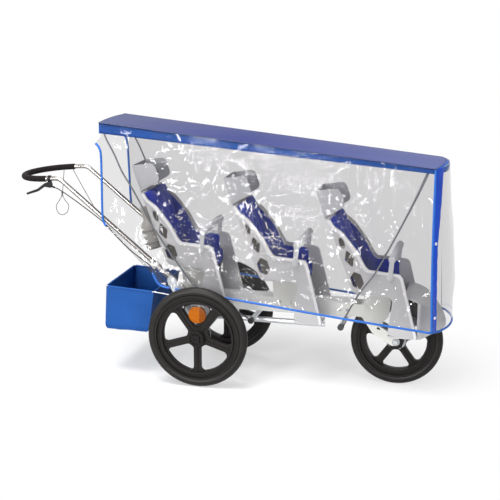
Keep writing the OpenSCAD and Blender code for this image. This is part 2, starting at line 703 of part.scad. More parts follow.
// Distance along a side tube at which its axis meets the hand loop's plane
corner_s = (loop_z - socket_z + tan(loop_droop) * (loop_x - socket_x))
    / (sin(handle_slope) + tan(loop_droop) * cos(handle_slope));
corner = on_tube(corner_s, handle_y);
bend_turn = handle_slope + loop_droop;
bend_cut = bend_r * tan(bend_turn / 2);
bend_end = corner + bend_cut * loop_dir;
loop_start = [-loop_x, handle_y, loop_z];
// The tube's straight and bent lengths meet inside short weld rings
weld_gap = 0.3;
weld_l = 6;
module weld(p, dir) {
    rod(p - dir * weld_l / 2, p + dir * weld_l / 2, handle_d + 0.8);
}
bend_start = on_tube(corner_s - bend_cut, handle_y);
module handle_side() {
    step = weld_gap / bend_r * 180 / PI;
    along_tube(handle_y) translate([0, 0, -tube_down])
        cylinder(d = handle_d, h = tube_down + corner_s - bend_cut - weld_gap);
    translate(bend_start) rotate([0, handle_slope - 90, 0]) translate([-bend_r, 0, 0]) rotate([90, 0, 0])
        rotate([0, 0, step]) rotate_extrude(angle = bend_turn - 2 * step)
            translate([bend_r, 0]) circle(d = handle_d);
    rod(bend_end + weld_gap * loop_dir, loop_start - weld_gap * loop_dir, handle_d);
    weld(bend_start, tube_dir);
    weld(bend_end, loop_dir);
    weld(loop_start, loop_dir);
}
module hand_loop(d, cut) {
    step = cut / handle_y * 180 / PI;
    translate([-loop_x, 0, loop_z]) rotate([0, -loop_droop, 0]) rotate([0, 0, 90 + step])
        rotate_extrude(angle = 180 - 2 * step, $fn = 96) translate([handle_y, 0]) circle(d = d, $fn = 48);
}
peg_s = 20;
module handle_tube() {
    from_axle() color("#c3c6ca") {
        both_sides() handle_side();
        hand_loop(handle_d, weld_gap);
        both_sides() translate(on_tube(peg_s, 0)) cross_rod(8, handle_y, handle_y + sleeve_d / 2);
    }
}
module foam_grip() {
    from_axle() color("#33292a") difference() {
        hand_loop(grip_d, weld_l / 2 + 1);
        hand_loop(handle_d + 2 * seat_gap, 0);
    }
}
// Brake clamp on the right tube, ahead of the grip, with the lever's pivot ears and the cable adjuster
clamp_x = 780;
lever_x = 800;
lever_z = 948;
module brake_clamp() {
    y = -handle_y;
    from_axle() color("#2b2b2d") difference() {
        union() {
            translate([-clamp_x, y, loop_z + 1.1]) rotate([0, -90 - loop_droop, 0])
                cylinder(d = 33, h = 13, center = true);
            upright(y - lever_t / 2 - 4, y + lever_t / 2 + 4)
                polygon(rounded([[-792, 962, 2], [-811, 950, 8], [-803, 938, 7], [-772, 934, 4], [-768, 950, 4],
                    [-773, 966, 2]]));
            rod([-772, y, 942], [-756, y, 936], 10);
        }
        translate([-clamp_x, y, loop_z + 1.1]) rotate([0, -90 - loop_droop, 0])
            cylinder(d = handle_d + 2 * seat_gap, h = 60, center = true);
        upright(y - lever_t / 2 - 0.4, y + lever_t / 2 + 0.4)
            polygon([[-787, 930], [-787, 966], [-830, 966], [-830, 930]]);
        translate([-lever_x, 0, lever_z]) cross_rod(lever_pin_d + 2 * run_gap, y - 20, y + 20);
    }
}
module brake_lever() {
    y = -handle_y;
    from_axle() color("#3a3a3d") {
        upright(y - lever_t / 2, y + lever_t / 2)
            polygon(rounded([[-791, 955, 5], [-806, 956, 6], [-845, 926, 20], [-905, 903, 4], [-905, 892, 5],
                [-842, 913, 20], [-806, 938, 8], [-791, 941, 5]]));
        translate([-lever_x, 0, lever_z]) cross_rod(lever_pin_d, y - lever_t / 2 - 4, y + lever_t / 2 + 4);
    }
}
// Cable from the adjuster along the right tube, past the collar, down to the brake plate
cable_path = [[-754.4, -185, 935.3], [-727, -185, 924], [-645, -185, 873], [-506, -185, 775], [-430, -185, 698],
    [-369, -185, 641], [-277, -185, 576], [-250, -185, 549], [-215, -185, 512], [-180, -188, 466], [-150, -192, 420],
    [-130, -203, 380], [-105, -214, 340], [-75, -217, 305], [-44, -218.6, 274]];
module brake_cable() {
    from_axle() color("#222224") tube_along(through(cable_path, 3), cable_d, [0, 1, 0]);
}
module brake_plate() {
    from_axle() translate([0, 0, rear_r]) color("#6f7275") difference() {
        union() {
            cross_rod(brake_plate_d, -230, -222);
            translate([-38, 0, 19]) cross_rod(12, -222, -215);
        }
        cross_rod(axle_d + 8 + 2 * seat_gap, -240, -210);
        translate([-38, -218.6, 19]) rotate([0, -45, 0]) cylinder(d = cable_d + 0.6, h = 12);
    }
}
// Cords tied to the grip: one hangs in a loop, one runs across to the right tube
module hand_cord() {
    path = [[-856, 173.6, 958.4], [-861, 173, 910], [-868, 172.5, 850], [-873, 172, 822], [-888, 172, 796],
        [-907, 171, 764], [-899, 171, 730], [-874, 171, 718], [-847, 172, 734], [-838, 173, 770], [-858, 175, 797],
        [-869, 178.5, 815]];
    from_axle() color("#1f1f22") tube_along(through(path, 5), cord_d, [0, 1, 0]);
}
module tie_cord() {
    from_axle() color("#1f1f22") tube_along([[-806, 174.8, 964.1], [-723.3, 58, 925], [-640.6, -58.7, 887.7],
        [-557.9, -175.5, 852]], cord_d, [0, 0, 1]);
}

// Bottle behind the rear seat, and its holder
module at_bottle() {
    translate([-bottle_x, 0, bottle_z]) rotate([0, -bottle_lean, 0]) children();
}
module bottle() {
    from_axle() color("#9fa1a4") at_bottle() rotate_extrude() polygon(rounded([[0, 0, 0], [bottle_d / 2, 0, 8],
        [bottle_d / 2, 122, 16], [bottle_cap_d / 2 - 2, 146, 6], [bottle_cap_d / 2 - 2, 160, 0],
        [bottle_cap_d / 2, 160, 0], [bottle_cap_d / 2, 214, 5], [0, 214, 0]]));
}
module bottle_holder() {
    x = -rear_seat_x - 16 - 20;
    from_axle() color("#4a4c4f") difference() {
        union() {
            at_bottle() for (z = [20, 84]) translate([0, 0, z]) cylinder(d = bottle_d + 8, h = 12);
            at_bottle() translate([0, 0, -6]) cylinder(d = bottle_d - 14, h = 5.8);
            at_bottle() translate([bottle_d / 2 + 0.3, -9, -6]) cube([4, 18, 102]);
            at_bottle() translate([0, -9, -6]) cube([bottle_d / 2 + 4, 18, 5.8]);
            at_bottle() for (z = [20, 84]) translate([bottle_d / 2 + 1, -9, z]) cube([90, 18, 12]);
        }
        at_bottle() translate([0, 0, 0]) cylinder(d = bottle_d + 0.6, h = 160);
        translate([-rear_seat_x, 0, rear_seat_z]) upright(-50, 50)
            polygon([[-150 - 0.3, 290], [-16 - 0.3, -pan_depth], [-16, -pan_depth - 100], [200, -200], [200, 290]]);
    }
}

// Basket
basket_rise = 15;
basket_rear = basket_front + basket_l;
module basket_outer(inset, top) {
    polygon(rounded([[-basket_rear + inset, basket_top + basket_rise + top, 0],
        [-basket_front - inset, basket_top + top, 0],
        [-basket_front - 33 - inset, basket_top - basket_h + inset, 18],
        [-basket_rear - 13 + inset, basket_top - basket_h + 3 + inset, 18]]));
}
module basket() {
    half = basket_w / 2;
    from_axle() color("#2f66b5") difference() {
        upright(-half, half) basket_outer(0, 0);
        upright(-half + basket_wall, half - basket_wall) basket_outer(basket_wall, 2);
    }
}
module basket_frame() {
    half = basket_w / 2 - 3;
    lift = wire_d / 2 + 0.3;
    rear_z = basket_top + basket_rise + lift;
    front_z = basket_top + lift;
    arm_y = plate_out + wire_d / 2 + 0.3;
    from_axle() color("#3d4044") {
        both_sides() {
            rod([-basket_rear, half, rear_z], [-basket_front, half, front_z], wire_d);
            rod([-basket_front, half, front_z], [-115, arm_y, 430], wire_d);
            translate([-basket_front, half, front_z]) sphere(d = wire_d + 2);
            translate([-basket_rear, half, rear_z]) sphere(d = wire_d + 2);
            translate([-112, 0, 429.5]) cross_rod(16, plate_out + 0.2, plate_out + 0.2 + wire_d);
        }
        rod([-basket_front, -half, front_z], [-basket_front, half, front_z], wire_d);
        rod([-basket_rear, -half, rear_z], [-basket_rear, half, rear_z], wire_d);
    }
}

// Rain cover; a place on it is given by x and z, and its half width follows from the drop below the roof
slope_tan = tan(roof_slope);
function roof_at(x) = roof_z - slope_tan * (x + roof_rear);
function side_at(x, z) = roof_half + tan(side_flare) * cos(roof_slope) * (roof_at(x) - z);
module roof_frame() {
    translate([-roof_rear, 0, roof_z]) rotate([0, roof_slope, 0]) children();
}
// Flat panel on the left side, drawn with x along the roof and y downwards, from its inner face outwards
module side_sheet(out, t) {
    translate([0, roof_half, 0]) rotate([side_flare - 90, 0, 0]) translate([0, 0, out])
        linear_extrude(t) children();
}
// Corner of a side in roof coordinates from a point in the XZ plane
function in_roof(x, z) = let (dx = x + roof_rear, dz = z - roof_z)
    [dx * cos(roof_slope) - dz * sin(roof_slope),
        -(dx * sin(roof_slope) + dz * cos(roof_slope)) / cos(side_flare)];
side_front = roof_l + front_lean;
rear_edge = [[-128, 473], [-185, 481], [-215, 499], [-245, 550], [-485, 775], [-495, 820], [-497, 1000],
    [-501, 1130], [-516, 1180]];
rear_curve = through([for (q = rear_edge) [q.x, q.y, 0]], 3);
hem = [[1123, 345], [880, 367], [640, 391], [386, 418], [104, 448.5]];
// Hem from its rear end forward, as the panels and the piping follow it
hem_run = through([for (q = concat([rear_edge[0]], [for (i = [len(hem) - 1:-1:1]) hem[i]], [[1108, 346.4]]))
    [q.x, q.y, 0]], 2);
module side_outline() {
    polygon(concat([[0, 3], [roof_l, 3], in_roof(hem[0].x, hem[0].y)],
        [for (i = [len(hem_run) - 1:-1:0]) in_roof(hem_run[i].x, hem_run[i].y)],
        [for (i = [1:len(rear_curve) - 1]) in_roof(rear_curve[i].x, rear_curve[i].y)]));
}
module cover_side() {
    roof_frame() side_sheet(-sheet_t, sheet_t) side_outline();
}
module cover_left() color("#dfe6f0", 0.5) from_axle() cover_side();
module cover_right() color("#dfe6f0", 0.5) from_axle() mirror([0, 1, 0]) cover_side();
// Front panel, bowed forward; its corner line and its middle line as points in the XZ plane
front_top = 1104;
front_low = 345;
function corner_line(z) = 1106 + 17 * (front_top - z) / (front_top - front_low);
function middle_line(z) = cover_reach - 52 * pow(max(0, (z - 553) / 568), 1.25)
    - 8 * pow(max(0, (553 - z) / 200), 2);
// Point of the front panel, i of eight steps down and w from -1 at its right edge to 1 at its left
function front_point(i, w) =
    let (z = front_top - 4 - (front_top - front_low - 4) * i / 8, x0 = corner_line(z), x1 = middle_line(z))
    [x0 + (x1 - x0) * (1 - pow(abs(w), 2.2)), w * (side_at(x0, z) - sheet_t), z + 12 * (1 - w * w) * (1 - i / 8)];
module cover_front() {
    grid = [for (i = [0:8]) [for (j = [-6:6]) front_point(i, j / 6)]];
    from_axle() color("#dfe6f0", 0.5)
        between(grid, [for (row = grid) [for (p = row) [p.x - sheet_t, p.y, p.z]]]);
}
module cover_roof() {
    top = [for (i = [0:10]) [for (j = [-4:4]) let (w = j / 4, u = i / 10,
        x = -roof_rear + u * (roof_l * cos(roof_slope) + 34 * (1 - w * w)))
        [x, w * (roof_half + sheet_t), roof_at(x) + roof_crown * (1 - w * w)]]];
    from_axle() color("#5560a8") {
        between(top, [for (row = top) [for (p = row) [p.x, p.y, p.z - 2]]]);
        both_sides() roof_frame() side_sheet(seat_gap, sheet_t)
            polygon([[0, 2.5], [roof_l, 2.5], [roof_l, band_front], [0, band_rear]]);
    }
}
// Piping along the hem and up the rear edges
pipe_out = piping_d / 2 + 0.25;
module cover_piping() {
    near = [for (p = hem_run) [p.x, -side_at(p.x, p.y) + sheet_t / 2, p.y - pipe_out]];
    bow = [for (j = [-5:5]) let (w = j / 6, x0 = corner_line(front_low), x1 = middle_line(front_low))
        [x0 + (x1 - x0) * (1 - pow(abs(w), 2.2)) - sheet_t / 2, w * side_at(x0, front_low), front_low - pipe_out]];
    whole = concat(near, bow, [for (i = [len(near) - 1:-1:0]) mirrored(near)[i]]);
    rise = [for (p = rear_curve) [p.x, side_at(p.x, p.y) - sheet_t / 2, p.y]];
    edge = [for (i = [2:len(rise) - 1]) let (t = unit(rise[min(i + 1, len(rise) - 1)] - rise[i - 1]))
        rise[i] + pipe_out * [-t.z, 0, t.x]];
    from_axle() color("#2f80e8") {
        tube_along(whole, piping_d, [0, 0, 1]);
        tube_along(edge, piping_d, [0, 1, 0]);
        tube_along(mirrored(edge), piping_d, [0, 1, 0]);
    }
}
// Point of the zip strip, i of eight steps down, reach from the corner, and out from the front panel
function zip_point(i, reach, out) =
    let (a = front_point(i, -1), b = front_point(i, -5 / 6), run = unit([b.x - a.x, b.y - a.y, 0]))
    a + reach * unit(b - a) + out * [run.y, -run.x, 0];
// Zip strip down the right front corner, with two snaps
module zip_strip() {
    layers = [for (out = [seat_gap + zip_t, seat_gap]) [for (i = [0:8]) [for (reach = [3, 3 + zip_w])
        zip_point(i, reach, out)]]];
    from_axle() color("#2f55cc") {
        between(layers[0], layers[1]);
        for (i = [3.6, 7.3]) let (a = zip_point(i, 13, seat_gap + 1), b = zip_point(i, 13, seat_gap + 2))
            translate(a) rotate([0, 90, atan2(b.y - a.y, b.x - a.x)]) cylinder(d = 12, h = zip_t + 0.6);
    }
}
module cover_poles() {
    from_axle() color("#aeb2b8") for (p = [rear_pole, front_pole]) {
        tube_along(through(p, 3), pole_d, [0, 1, 0]);
        tube_along(mirrored(through(p, 3)), pole_d, [0, 1, 0]);
    }
}

// Wheels
// Sector between two spokes, centred on +Z, with its edges set in by gap
module wheel_window(r, gap) {
    inner = hub_d / 2 + 15 + gap;
    outer = r - tyre_show - rim_depth - 2 - gap;
    step = 180 / spoke_count;
    side = spoke_w / 2 + gap;
    a0 = 90 - step + asin(side / inner);
    a1 = 90 - step + asin(side / outer);
    tip_r = min(18, 1.5 * inner * cos(a0));
    flare_r = min(21, 0.7 * outer * (90 - a1) * PI / 540);
    arc = [for (i = [1:5]) let (a = a1 + (180 - 2 * a1) * i / 6) outer * [cos(a), sin(a)]];
    polygon(rounded(concat([[inner * cos(a0), inner * sin(a0), tip_r], [outer * cos(a1), outer * sin(a1), flare_r]],
        [for (p = arc) [p.x, p.y, 0]],
        [[-outer * cos(a1), outer * sin(a1), flare_r], [-inner * cos(a0), inner * sin(a0), tip_r]])));
}
// Moulded spoked wheel about the Y axis, its hub reaching from y0 to y1
module moulded_wheel(r, y0, y1, inset, turn, drum) {
    web_r = r - tyre_show - rim_depth + 1;
    color("#45403b") difference() {
        union() {
            rotate([90, 0, 0]) rotate_extrude($fn = 96) difference() {
                translate([r - tyre_show - rim_depth, -rim_w / 2]) square([rim_depth, rim_w]);
                translate([r - tyre_w / 2, 0]) circle(d = tyre_w + 2 * seat_gap, $fn = 64);
                for (side = [-1, 1]) translate([r - tyre_show - rim_depth / 2, side * rim_w / 2])
                    square([rim_depth - 2 * rim_lip, 2 * rim_channel], center = true);
            }
            cross_rod(2 * web_r, -web_t / 2, web_t / 2, $fn = 96);
            for (i = [0:spoke_count - 1]) rotate([0, turn + 180 / spoke_count + 360 * i / spoke_count, 0])
                translate([-3, -web_t / 2 - 5, hub_d / 2 - 4]) cube([6, web_t + 10, web_r - hub_d / 2]);
            cross_rod(hub_d, y0, y1);
            if (drum > 0) cross_rod(drum, y0 - 16, y0 + 2);
        }
        for (i = [0:spoke_count - 1]) rotate([0, turn + 360 * i / spoke_count, 0])
            upright(-rim_w, rim_w) wheel_window(r, 0);
        cross_rod(axle_d + 12, y0 - 20, y1 + 1);
        cross_rod(bearing_d + 2 * run_gap, drum > 0 ? y0 : y0 - 1, y0 + bearing_w + 1);
        cross_rod(bearing_d + 2 * run_gap, y1 - bearing_w - inset - 0.5, y1 + 1);
        if (drum > 0) cross_rod(drum - 12, y0 - 17, y0 - 4);
    }
}
// Tyre with a round tread
module tyre(r) {
    color("#37332f") rotate([90, 0, 0]) rotate_extrude($fn = 96) translate([r - tyre_w / 2, 0])
        circle(d = tyre_w, $fn = 64);
}
// Pair of ball bearings, one at each end of a hub
module bearings(y0, y1, inset) {
    color("silver") for (y = [y0 + 0.5, y1 - bearing_w - inset]) difference() {
        cross_rod(bearing_d, y, y + bearing_w);
        cross_rod(axle_d + 2 * run_gap, y - 1, y + bearing_w + 1);
    }
}
// Hub cap with a raised rim, four webs and a sunk centre, standing on the hub's end face
module hub_cap(y) {
    color("#3a3633") difference() {
        cross_rod(hub_d, y, y + cap_t);
        difference() {
            cross_rod(hub_d * 0.8, y + 2, y + cap_t + 1);
            cross_rod(hub_d * 0.5, y, y + cap_t + 2);
            for (i = [0:3]) rotate([0, 45 + 90 * i, 0]) translate([-3, y, 0]) cube([6, cap_t + 2, hub_d / 2]);
        }
        cross_rod(hub_d * 0.3, y + cap_t - 3, y + cap_t + 1);
    }
}
// Reflector lens in an open holder that fits the upper window of a rear wheel, with two screws
module reflector() {
    color("#d27800") {
        difference() {
            upright(-2, 2) wheel_window(rear_r, seat_gap);
            upright(-3, 3) wheel_window(rear_r, seat_gap + holder_w);
        }
        upright(-6, 6) intersection() {
            translate([0, reflector_z]) circle(d = reflector_d);
            translate([-reflector_d / 2, reflector_z - reflector_h / 2]) square([reflector_d, reflector_h]);
        }
        for (side = [-1, 1]) translate([side * 70, 0, reflector_z + 33]) cross_rod(8, 0, 5);
    }
}
// Places of the wheels; the right rear one is the mirror image of the left
module rear_right() {
    from_axle() translate([0, -rear_y, rear_r]) mirror([0, 1, 0]) children();
}
module rear_left() {
    from_axle() translate([0, rear_y, rear_r]) children();
}
module front_place() {
    from_axle() translate([wheelbase, 0, front_r]) children();
}
module rear_wheel_right() rear_right() moulded_wheel(rear_r, -hub_half, hub_half, outer_bearing, 0, drum_d);
module rear_wheel_left() rear_left() moulded_wheel(rear_r, -hub_half, hub_half, outer_bearing, 0, 0);
module front_wheel() front_place() moulded_wheel(front_r, -front_hub, front_hub, 0.5, 180, 0);
module rear_tyre_right() rear_right() tyre(rear_r);
module rear_tyre_left() rear_left() tyre(rear_r);
module front_tyre() front_place() tyre(front_r);
module rear_bearings_right() rear_right() bearings(-hub_half, hub_half, outer_bearing);
module rear_bearings_left() rear_left() bearings(-hub_half, hub_half, outer_bearing);
module front_bearings() front_place() bearings(-front_hub, front_hub, 0.5);
module rear_cap_right() rear_right() hub_cap(hub_half);
module rear_cap_left() rear_left() hub_cap(hub_half);
module reflector_right() rear_right() reflector();
module reflector_left() rear_left() reflector();
// Rings around the front hub, on both faces of the web
module front_hub_rings() {
    front_place() color("#3a3633") both_sides() difference() {
        cross_rod(hub_d + 22, web_t / 2, web_t / 2 + 4);
        cross_rod(hub_d + 2 * seat_gap, 0, web_t);
        for (i = [0:spoke_count - 1]) rotate([0, 180 + 180 / spoke_count + 360 * i / spoke_count, 0])
            translate([-3 - seat_gap, 0, 0]) cube([6 + 2 * seat_gap, web_t, hub_d]);
    }
}

main_beam();
brace_tube();
rear_cross_tube();
side_plates();
axles();
pole_tubes();
pole_sockets();
rear_seat_bracket();
middle_seat_bracket();
front_fork();
handle_sleeves();
sleeve_collars();
frame_bolts();
rear_seat_shell();
middle_seat_shell();
front_seat_shell();
rear_headrest();
middle_headrest();
front_headrest();
rear_cushions();
middle_cushions();
front_cushions();
foot_nose();
basket_frame();
basket();
cover_roof();
cover_right();
cover_left();
cover_front();
cover_piping();
zip_strip();
cover_poles();
brake_cable();
brake_plate();
bottle();
bottle_holder();
handle_tube();
foam_grip();
brake_clamp();
hand_cord();
tie_cord();
brake_lever();
rear_lap_bar();
middle_lap_bar();
front_lap_bar();
rear_wheel_right();
rear_tyre_right();
rear_bearings_right();
rear_cap_right();
reflector_right();
rear_wheel_left();
rear_tyre_left();
rear_bearings_left();
rear_cap_left();
reflector_left();
front_wheel();
front_tyre();
front_bearings();
front_hub_rings();
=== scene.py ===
import math
import bpy
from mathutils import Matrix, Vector, noise


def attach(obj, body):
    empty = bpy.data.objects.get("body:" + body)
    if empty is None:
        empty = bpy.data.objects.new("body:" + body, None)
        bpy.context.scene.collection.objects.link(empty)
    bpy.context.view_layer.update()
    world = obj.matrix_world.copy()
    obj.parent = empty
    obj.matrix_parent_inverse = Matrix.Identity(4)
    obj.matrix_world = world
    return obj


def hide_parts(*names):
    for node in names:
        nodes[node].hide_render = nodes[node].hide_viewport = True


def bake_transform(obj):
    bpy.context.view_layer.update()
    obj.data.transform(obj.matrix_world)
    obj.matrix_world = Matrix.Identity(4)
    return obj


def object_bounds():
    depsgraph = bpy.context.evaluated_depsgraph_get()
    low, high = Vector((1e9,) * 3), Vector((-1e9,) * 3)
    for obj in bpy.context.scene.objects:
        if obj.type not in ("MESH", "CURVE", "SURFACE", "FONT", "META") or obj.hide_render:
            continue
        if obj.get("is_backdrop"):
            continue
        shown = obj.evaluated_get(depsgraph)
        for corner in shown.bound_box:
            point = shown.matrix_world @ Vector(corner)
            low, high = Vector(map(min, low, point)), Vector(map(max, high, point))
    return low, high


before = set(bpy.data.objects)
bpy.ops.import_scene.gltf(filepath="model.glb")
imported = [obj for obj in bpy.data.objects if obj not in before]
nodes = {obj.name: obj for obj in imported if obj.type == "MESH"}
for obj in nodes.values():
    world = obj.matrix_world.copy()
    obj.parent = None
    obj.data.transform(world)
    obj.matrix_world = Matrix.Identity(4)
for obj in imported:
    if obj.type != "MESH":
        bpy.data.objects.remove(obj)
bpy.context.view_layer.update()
scene = bpy.context.scene
bpy.ops.object.select_all(action="DESELECT")

# Camera: it stands off the stroller's right side, a little ahead of square and a little above,
# with a longish lens, which is how the whole train of seats is seen in one frame.
camera_lens = bpy.data.cameras.new("studio_camera")
camera_lens.lens = 82.8
camera_lens.sensor_width = 36
camera = bpy.data.objects.new("studio_camera", camera_lens)
scene.collection.objects.link(camera)
camera.location = (1.4329, -5.3701, 1.9978)
camera_aim = Vector((0.08967, 0, 0.6303))
camera.rotation_euler = (camera_aim - camera.location).to_track_quat("-Z", "Y").to_euler()
scene.camera = camera
scene.view_settings.view_transform = "Standard"


# Hand cords: two thin black braided cords tied to the hand loop. One hangs as a wrist loop closed by a
# knot, the other is stretched from the left end of the grip to the right tube.
origin_ahead = 103.2256
cord_radius = 0.0015


# A place given in millimetres from the rear axle, the middle plane and the ground.
def spot(x, y, z):
    return Vector((x - origin_ahead, y, z)) / 1000


def paint(code):
    parts = [int(code[i:i + 2], 16) / 255 for i in (1, 3, 5)]
    return [p / 12.92 if p < 0.04045 else ((p + 0.055) / 1.055) ** 2.4 for p in parts] + [1]


# One output of a node; sums and products of levels make further nodes.
class Level:
    def __init__(self, finish, socket):
        self.finish = finish
        self.socket = socket

    def worked(self, operation, first, second):
        return self.finish.node("Math", {"operation": operation}, {0: first, 1: second})

    def __add__(self, other):
        return self.worked("ADD", self, other)

    def __radd__(self, other):
        return self.worked("ADD", other, self)

    def __mul__(self, other):
        return self.worked("MULTIPLY", self, other)

    def __rmul__(self, other):
        return self.worked("MULTIPLY", other, self)

    def __pow__(self, other):
        return self.worked("POWER", self, other)

    def __gt__(self, other):
        return self.worked("GREATER_THAN", self, other)


# One material, with the few patterns that all of the materials here are made from.
class Finish:
    def __init__(self, name, shine):
        self.material = bpy.data.materials.new(name)
        self.material.use_nodes = True
        self.tree = self.material.node_tree
        self.shader = self.tree.nodes["Principled BSDF"]
        self.body = Level(self, self.shader.outputs[0])
        self.place = self.node("TexCoord", output="Object")
        self.wear(shine)

    def node(self, kind, settings=None, values=None, output=0):
        made = self.tree.nodes.new("ShaderNode" + kind)
        for key, value in (settings or {}).items():
            if key == "stops":
                ramp = made.color_ramp
                ramp.elements[0].position, ramp.elements[0].color = value[0]
                ramp.elements[1].position, ramp.elements[1].color = value[-1]
                for place, colour in value[1:-1]:
                    ramp.elements.new(place).color = colour
            else:
                setattr(made, key, value)
        for key, value in (values or {}).items():
            if isinstance(value, Level):
                self.tree.links.new(value.socket, made.inputs[key])
            else:
                made.inputs[key].default_value = value
        return Level(self, made.outputs[output])

    def wear(self, values):
        for key, value in values.items():
            if isinstance(value, Level):
                self.tree.links.new(value.socket, self.shader.inputs[key])
            else:
                self.shader.inputs[key].default_value = value

    def mixed(self, share, first, second):
        return self.node("Mix", {"data_type": "RGBA"}, {0: share, 6: first, 7: second}, 2)

    def cloud(self, scale, detail=2.0, stretch=(1, 1, 1)):
        place = self.node("Mapping", None, {"Vector": self.place, "Scale": stretch})
        return self.node("TexNoise", None, {"Vector": place, "Scale": scale, "Detail": detail})

    def waves(self, direction, scale, distortion=0.0):
        return self.node("TexWave", {"bands_direction": direction},
                         {"Vector": self.place, "Scale": scale, "Distortion": distortion})

    def cells(self, scale):
        return self.node("TexVoronoi", {"feature": "F1"}, {"Vector": self.place, "Scale": scale})

    def lengthwise(self):
        return self.node("SeparateXYZ", None, {0: self.place})

    def eased(self, value, start, end, low, high):
        return self.node("MapRange", {"interpolation_type": "SMOOTHSTEP"}, {
            "Value": value, "From Min": start, "From Max": end, "To Min": low, "To Max": high})

    def layered(self, share, first, second):
        both = self.node("MixShader", None, {0: share, 1: first, 2: second})
        self.tree.links.new(both.socket, self.tree.nodes["Material Output"].inputs["Surface"])

    def relief(self, height, strength, depth):
        bump = self.node("Bump", None, {"Height": height, "Strength": strength, "Distance": depth})
        self.wear({"Normal": bump})


def cord_line(name, points, radius):
    line = bpy.data.curves.new(name, "CURVE")
    line.dimensions = "3D"
    line.bevel_depth = radius
    line.bevel_resolution = 3
    line.resolution_u = 10
    line.use_fill_caps = True
    run = line.splines.new("BEZIER")
    run.bezier_points.add(len(points) - 1)
    for i, knob in enumerate(run.bezier_points):
        ahead = points[min(i + 1, len(points) - 1)]
        behind = points[max(i - 1, 0)]
        knob.handle_left_type = "FREE"
        knob.handle_right_type = "FREE"
        knob.co = points[i]
        knob.handle_left = points[i] - (ahead - behind) / 6
        knob.handle_right = points[i] + (ahead - behind) / 6
    piece = bpy.data.objects.new(name, line)
    scene.collection.objects.link(piece)
    return piece


def picked(*pieces):
    bpy.ops.object.select_all(action="DESELECT")
    for piece in pieces:
        piece.select_set(True)
    bpy.context.view_layer.objects.active = pieces[0]


# A smooth run through the given points, with so many steps from each to the next.
def along(points, steps):
    line = [points[0]]
    for i in range(len(points) - 1):
        a, b, c, d = (points[max(0, min(len(points) - 1, i + k))] for k in (-1, 0, 1, 2))
        for s in range(1, steps + 1):
            t = s / steps
            here = b + (c - a) / 2 * t + (a - 2.5 * b + 2 * c - d / 2) * t * t
            line.append(here + (1.5 * (b - c) + (d - a) / 2) * t ** 3)
    return line


def run_length(points):
    line = along(points, 40)
    return sum((b - a).length for a, b in zip(line, line[1:]))


cord_finish = Finish("black_braid", {"Roughness": 0.75, "Specular IOR Level": 0.1})
braid = cord_finish.waves("DIAGONAL", 420.0, 1.5)
cord_finish.wear({"Base Color": cord_finish.mixed(braid, paint("#060607"), paint("#141416"))})
cord_finish.relief(braid, 0.6, 0.0004)

wrist_points = [spot(*p) for p in (
    (-856, 173.6, 958.4), (-861, 173, 910), (-868, 172.5, 850), (-873, 172, 822), (-888, 172, 796),
    (-907, 171, 764), (-899, 171, 730), (-874, 171, 718), (-847, 172, 734), (-838, 173, 770),
    (-858, 175, 797), (-869, 178.5, 815))]
wrist_cord = cord_line("wrist_cord", wrist_points, cord_radius)
wrist_cord.data.materials.append(cord_finish.material)
knot_radius = 0.0042
knot_turns = []
for step in range(28):
    turn = step * 0.7
    off = (knot_radius * math.cos(turn), 0.003 + knot_radius * math.sin(turn), -0.006 + 0.0009 * step)
    knot_turns.append(wrist_points[3] + Vector(off))
wrist_knot = cord_line("wrist_knot", knot_turns, cord_radius)
wrist_knot.data.materials.append(cord_finish.material)
picked(wrist_knot)
bpy.ops.object.convert(target="MESH")

tie_points = [spot(*p) for p in ((-806, 174.8, 964.1), (-723.3, 58, 925), (-640.6, -58.7, 887.7),
                                 (-557.9, -175.5, 852))]
stretched_cord = cord_line("stretched_cord", tie_points, cord_radius)
stretched_cord.data.materials.append(cord_finish.material)
for cord_piece, node_name in ((wrist_cord, "hand_cord"), (stretched_cord, "tie_cord")):
    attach(cord_piece, "handle")
    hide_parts(node_name)
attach(wrist_knot, "handle")
run_length(wrist_points)
run_length(tie_points)


# Brake cable: a black sheathed cable from the lever's adjuster, along the right tube and past its collar,
# down to the drum brake in the right rear hub.
def pressed(piece):
    picked(piece)
    bpy.ops.object.convert(target="MESH")
    bpy.ops.object.mode_set(mode="EDIT")
    bpy.ops.mesh.select_all(action="SELECT")
    bpy.ops.mesh.remove_doubles(threshold=0.00001)
    bpy.ops.mesh.normals_make_consistent(inside=False)
    bpy.ops.object.mode_set(mode="OBJECT")
    bpy.ops.object.shade_smooth_by_angle(angle=math.radians(50))
    return piece


sheath_finish = Finish("cable_sheath", {"Roughness": 0.42, "Specular IOR Level": 0.2})
sheath_ribs = sheath_finish.waves("Z", 160.0, 0.4)
sheath_finish.wear({"Base Color": sheath_finish.mixed(sheath_ribs, paint("#0e0e10"), paint("#1b1b1d"))})
sheath_finish.relief(sheath_ribs, 0.25, 0.0004)
cable_points = [spot(*p) for p in (
    (-754.4, -185, 935.3), (-727, -185, 924), (-645, -185, 873), (-506, -185, 775), (-430, -185, 698),
    (-369, -185, 641), (-277, -185, 576), (-250, -185, 549), (-215, -185, 512), (-180, -188, 466),
    (-150, -192, 420), (-130, -203, 380), (-105, -214, 340), (-75, -217, 305), (-44, -218.6, 274))]
brake_line = pressed(cord_line("brake_line", cable_points, 0.0025))
brake_line.data.materials.append(sheath_finish.material)
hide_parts("brake_cable")
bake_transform(brake_line)
run_length(cable_points)
along(cable_points, 10)


# Frame: a square beam with a round brace under it, a cross tube and two side plates at the rear, and folded
# brackets that carry the seats. Beam and brackets are painted off-white, tubes and plates are bare metal.
def dress(finish, *names):
    for name in names:
        for slot in nodes[name].material_slots:
            slot.material = finish.material


def dimmed(colour, share):
    return [part * share for part in paint(colour)[:3]] + [1]


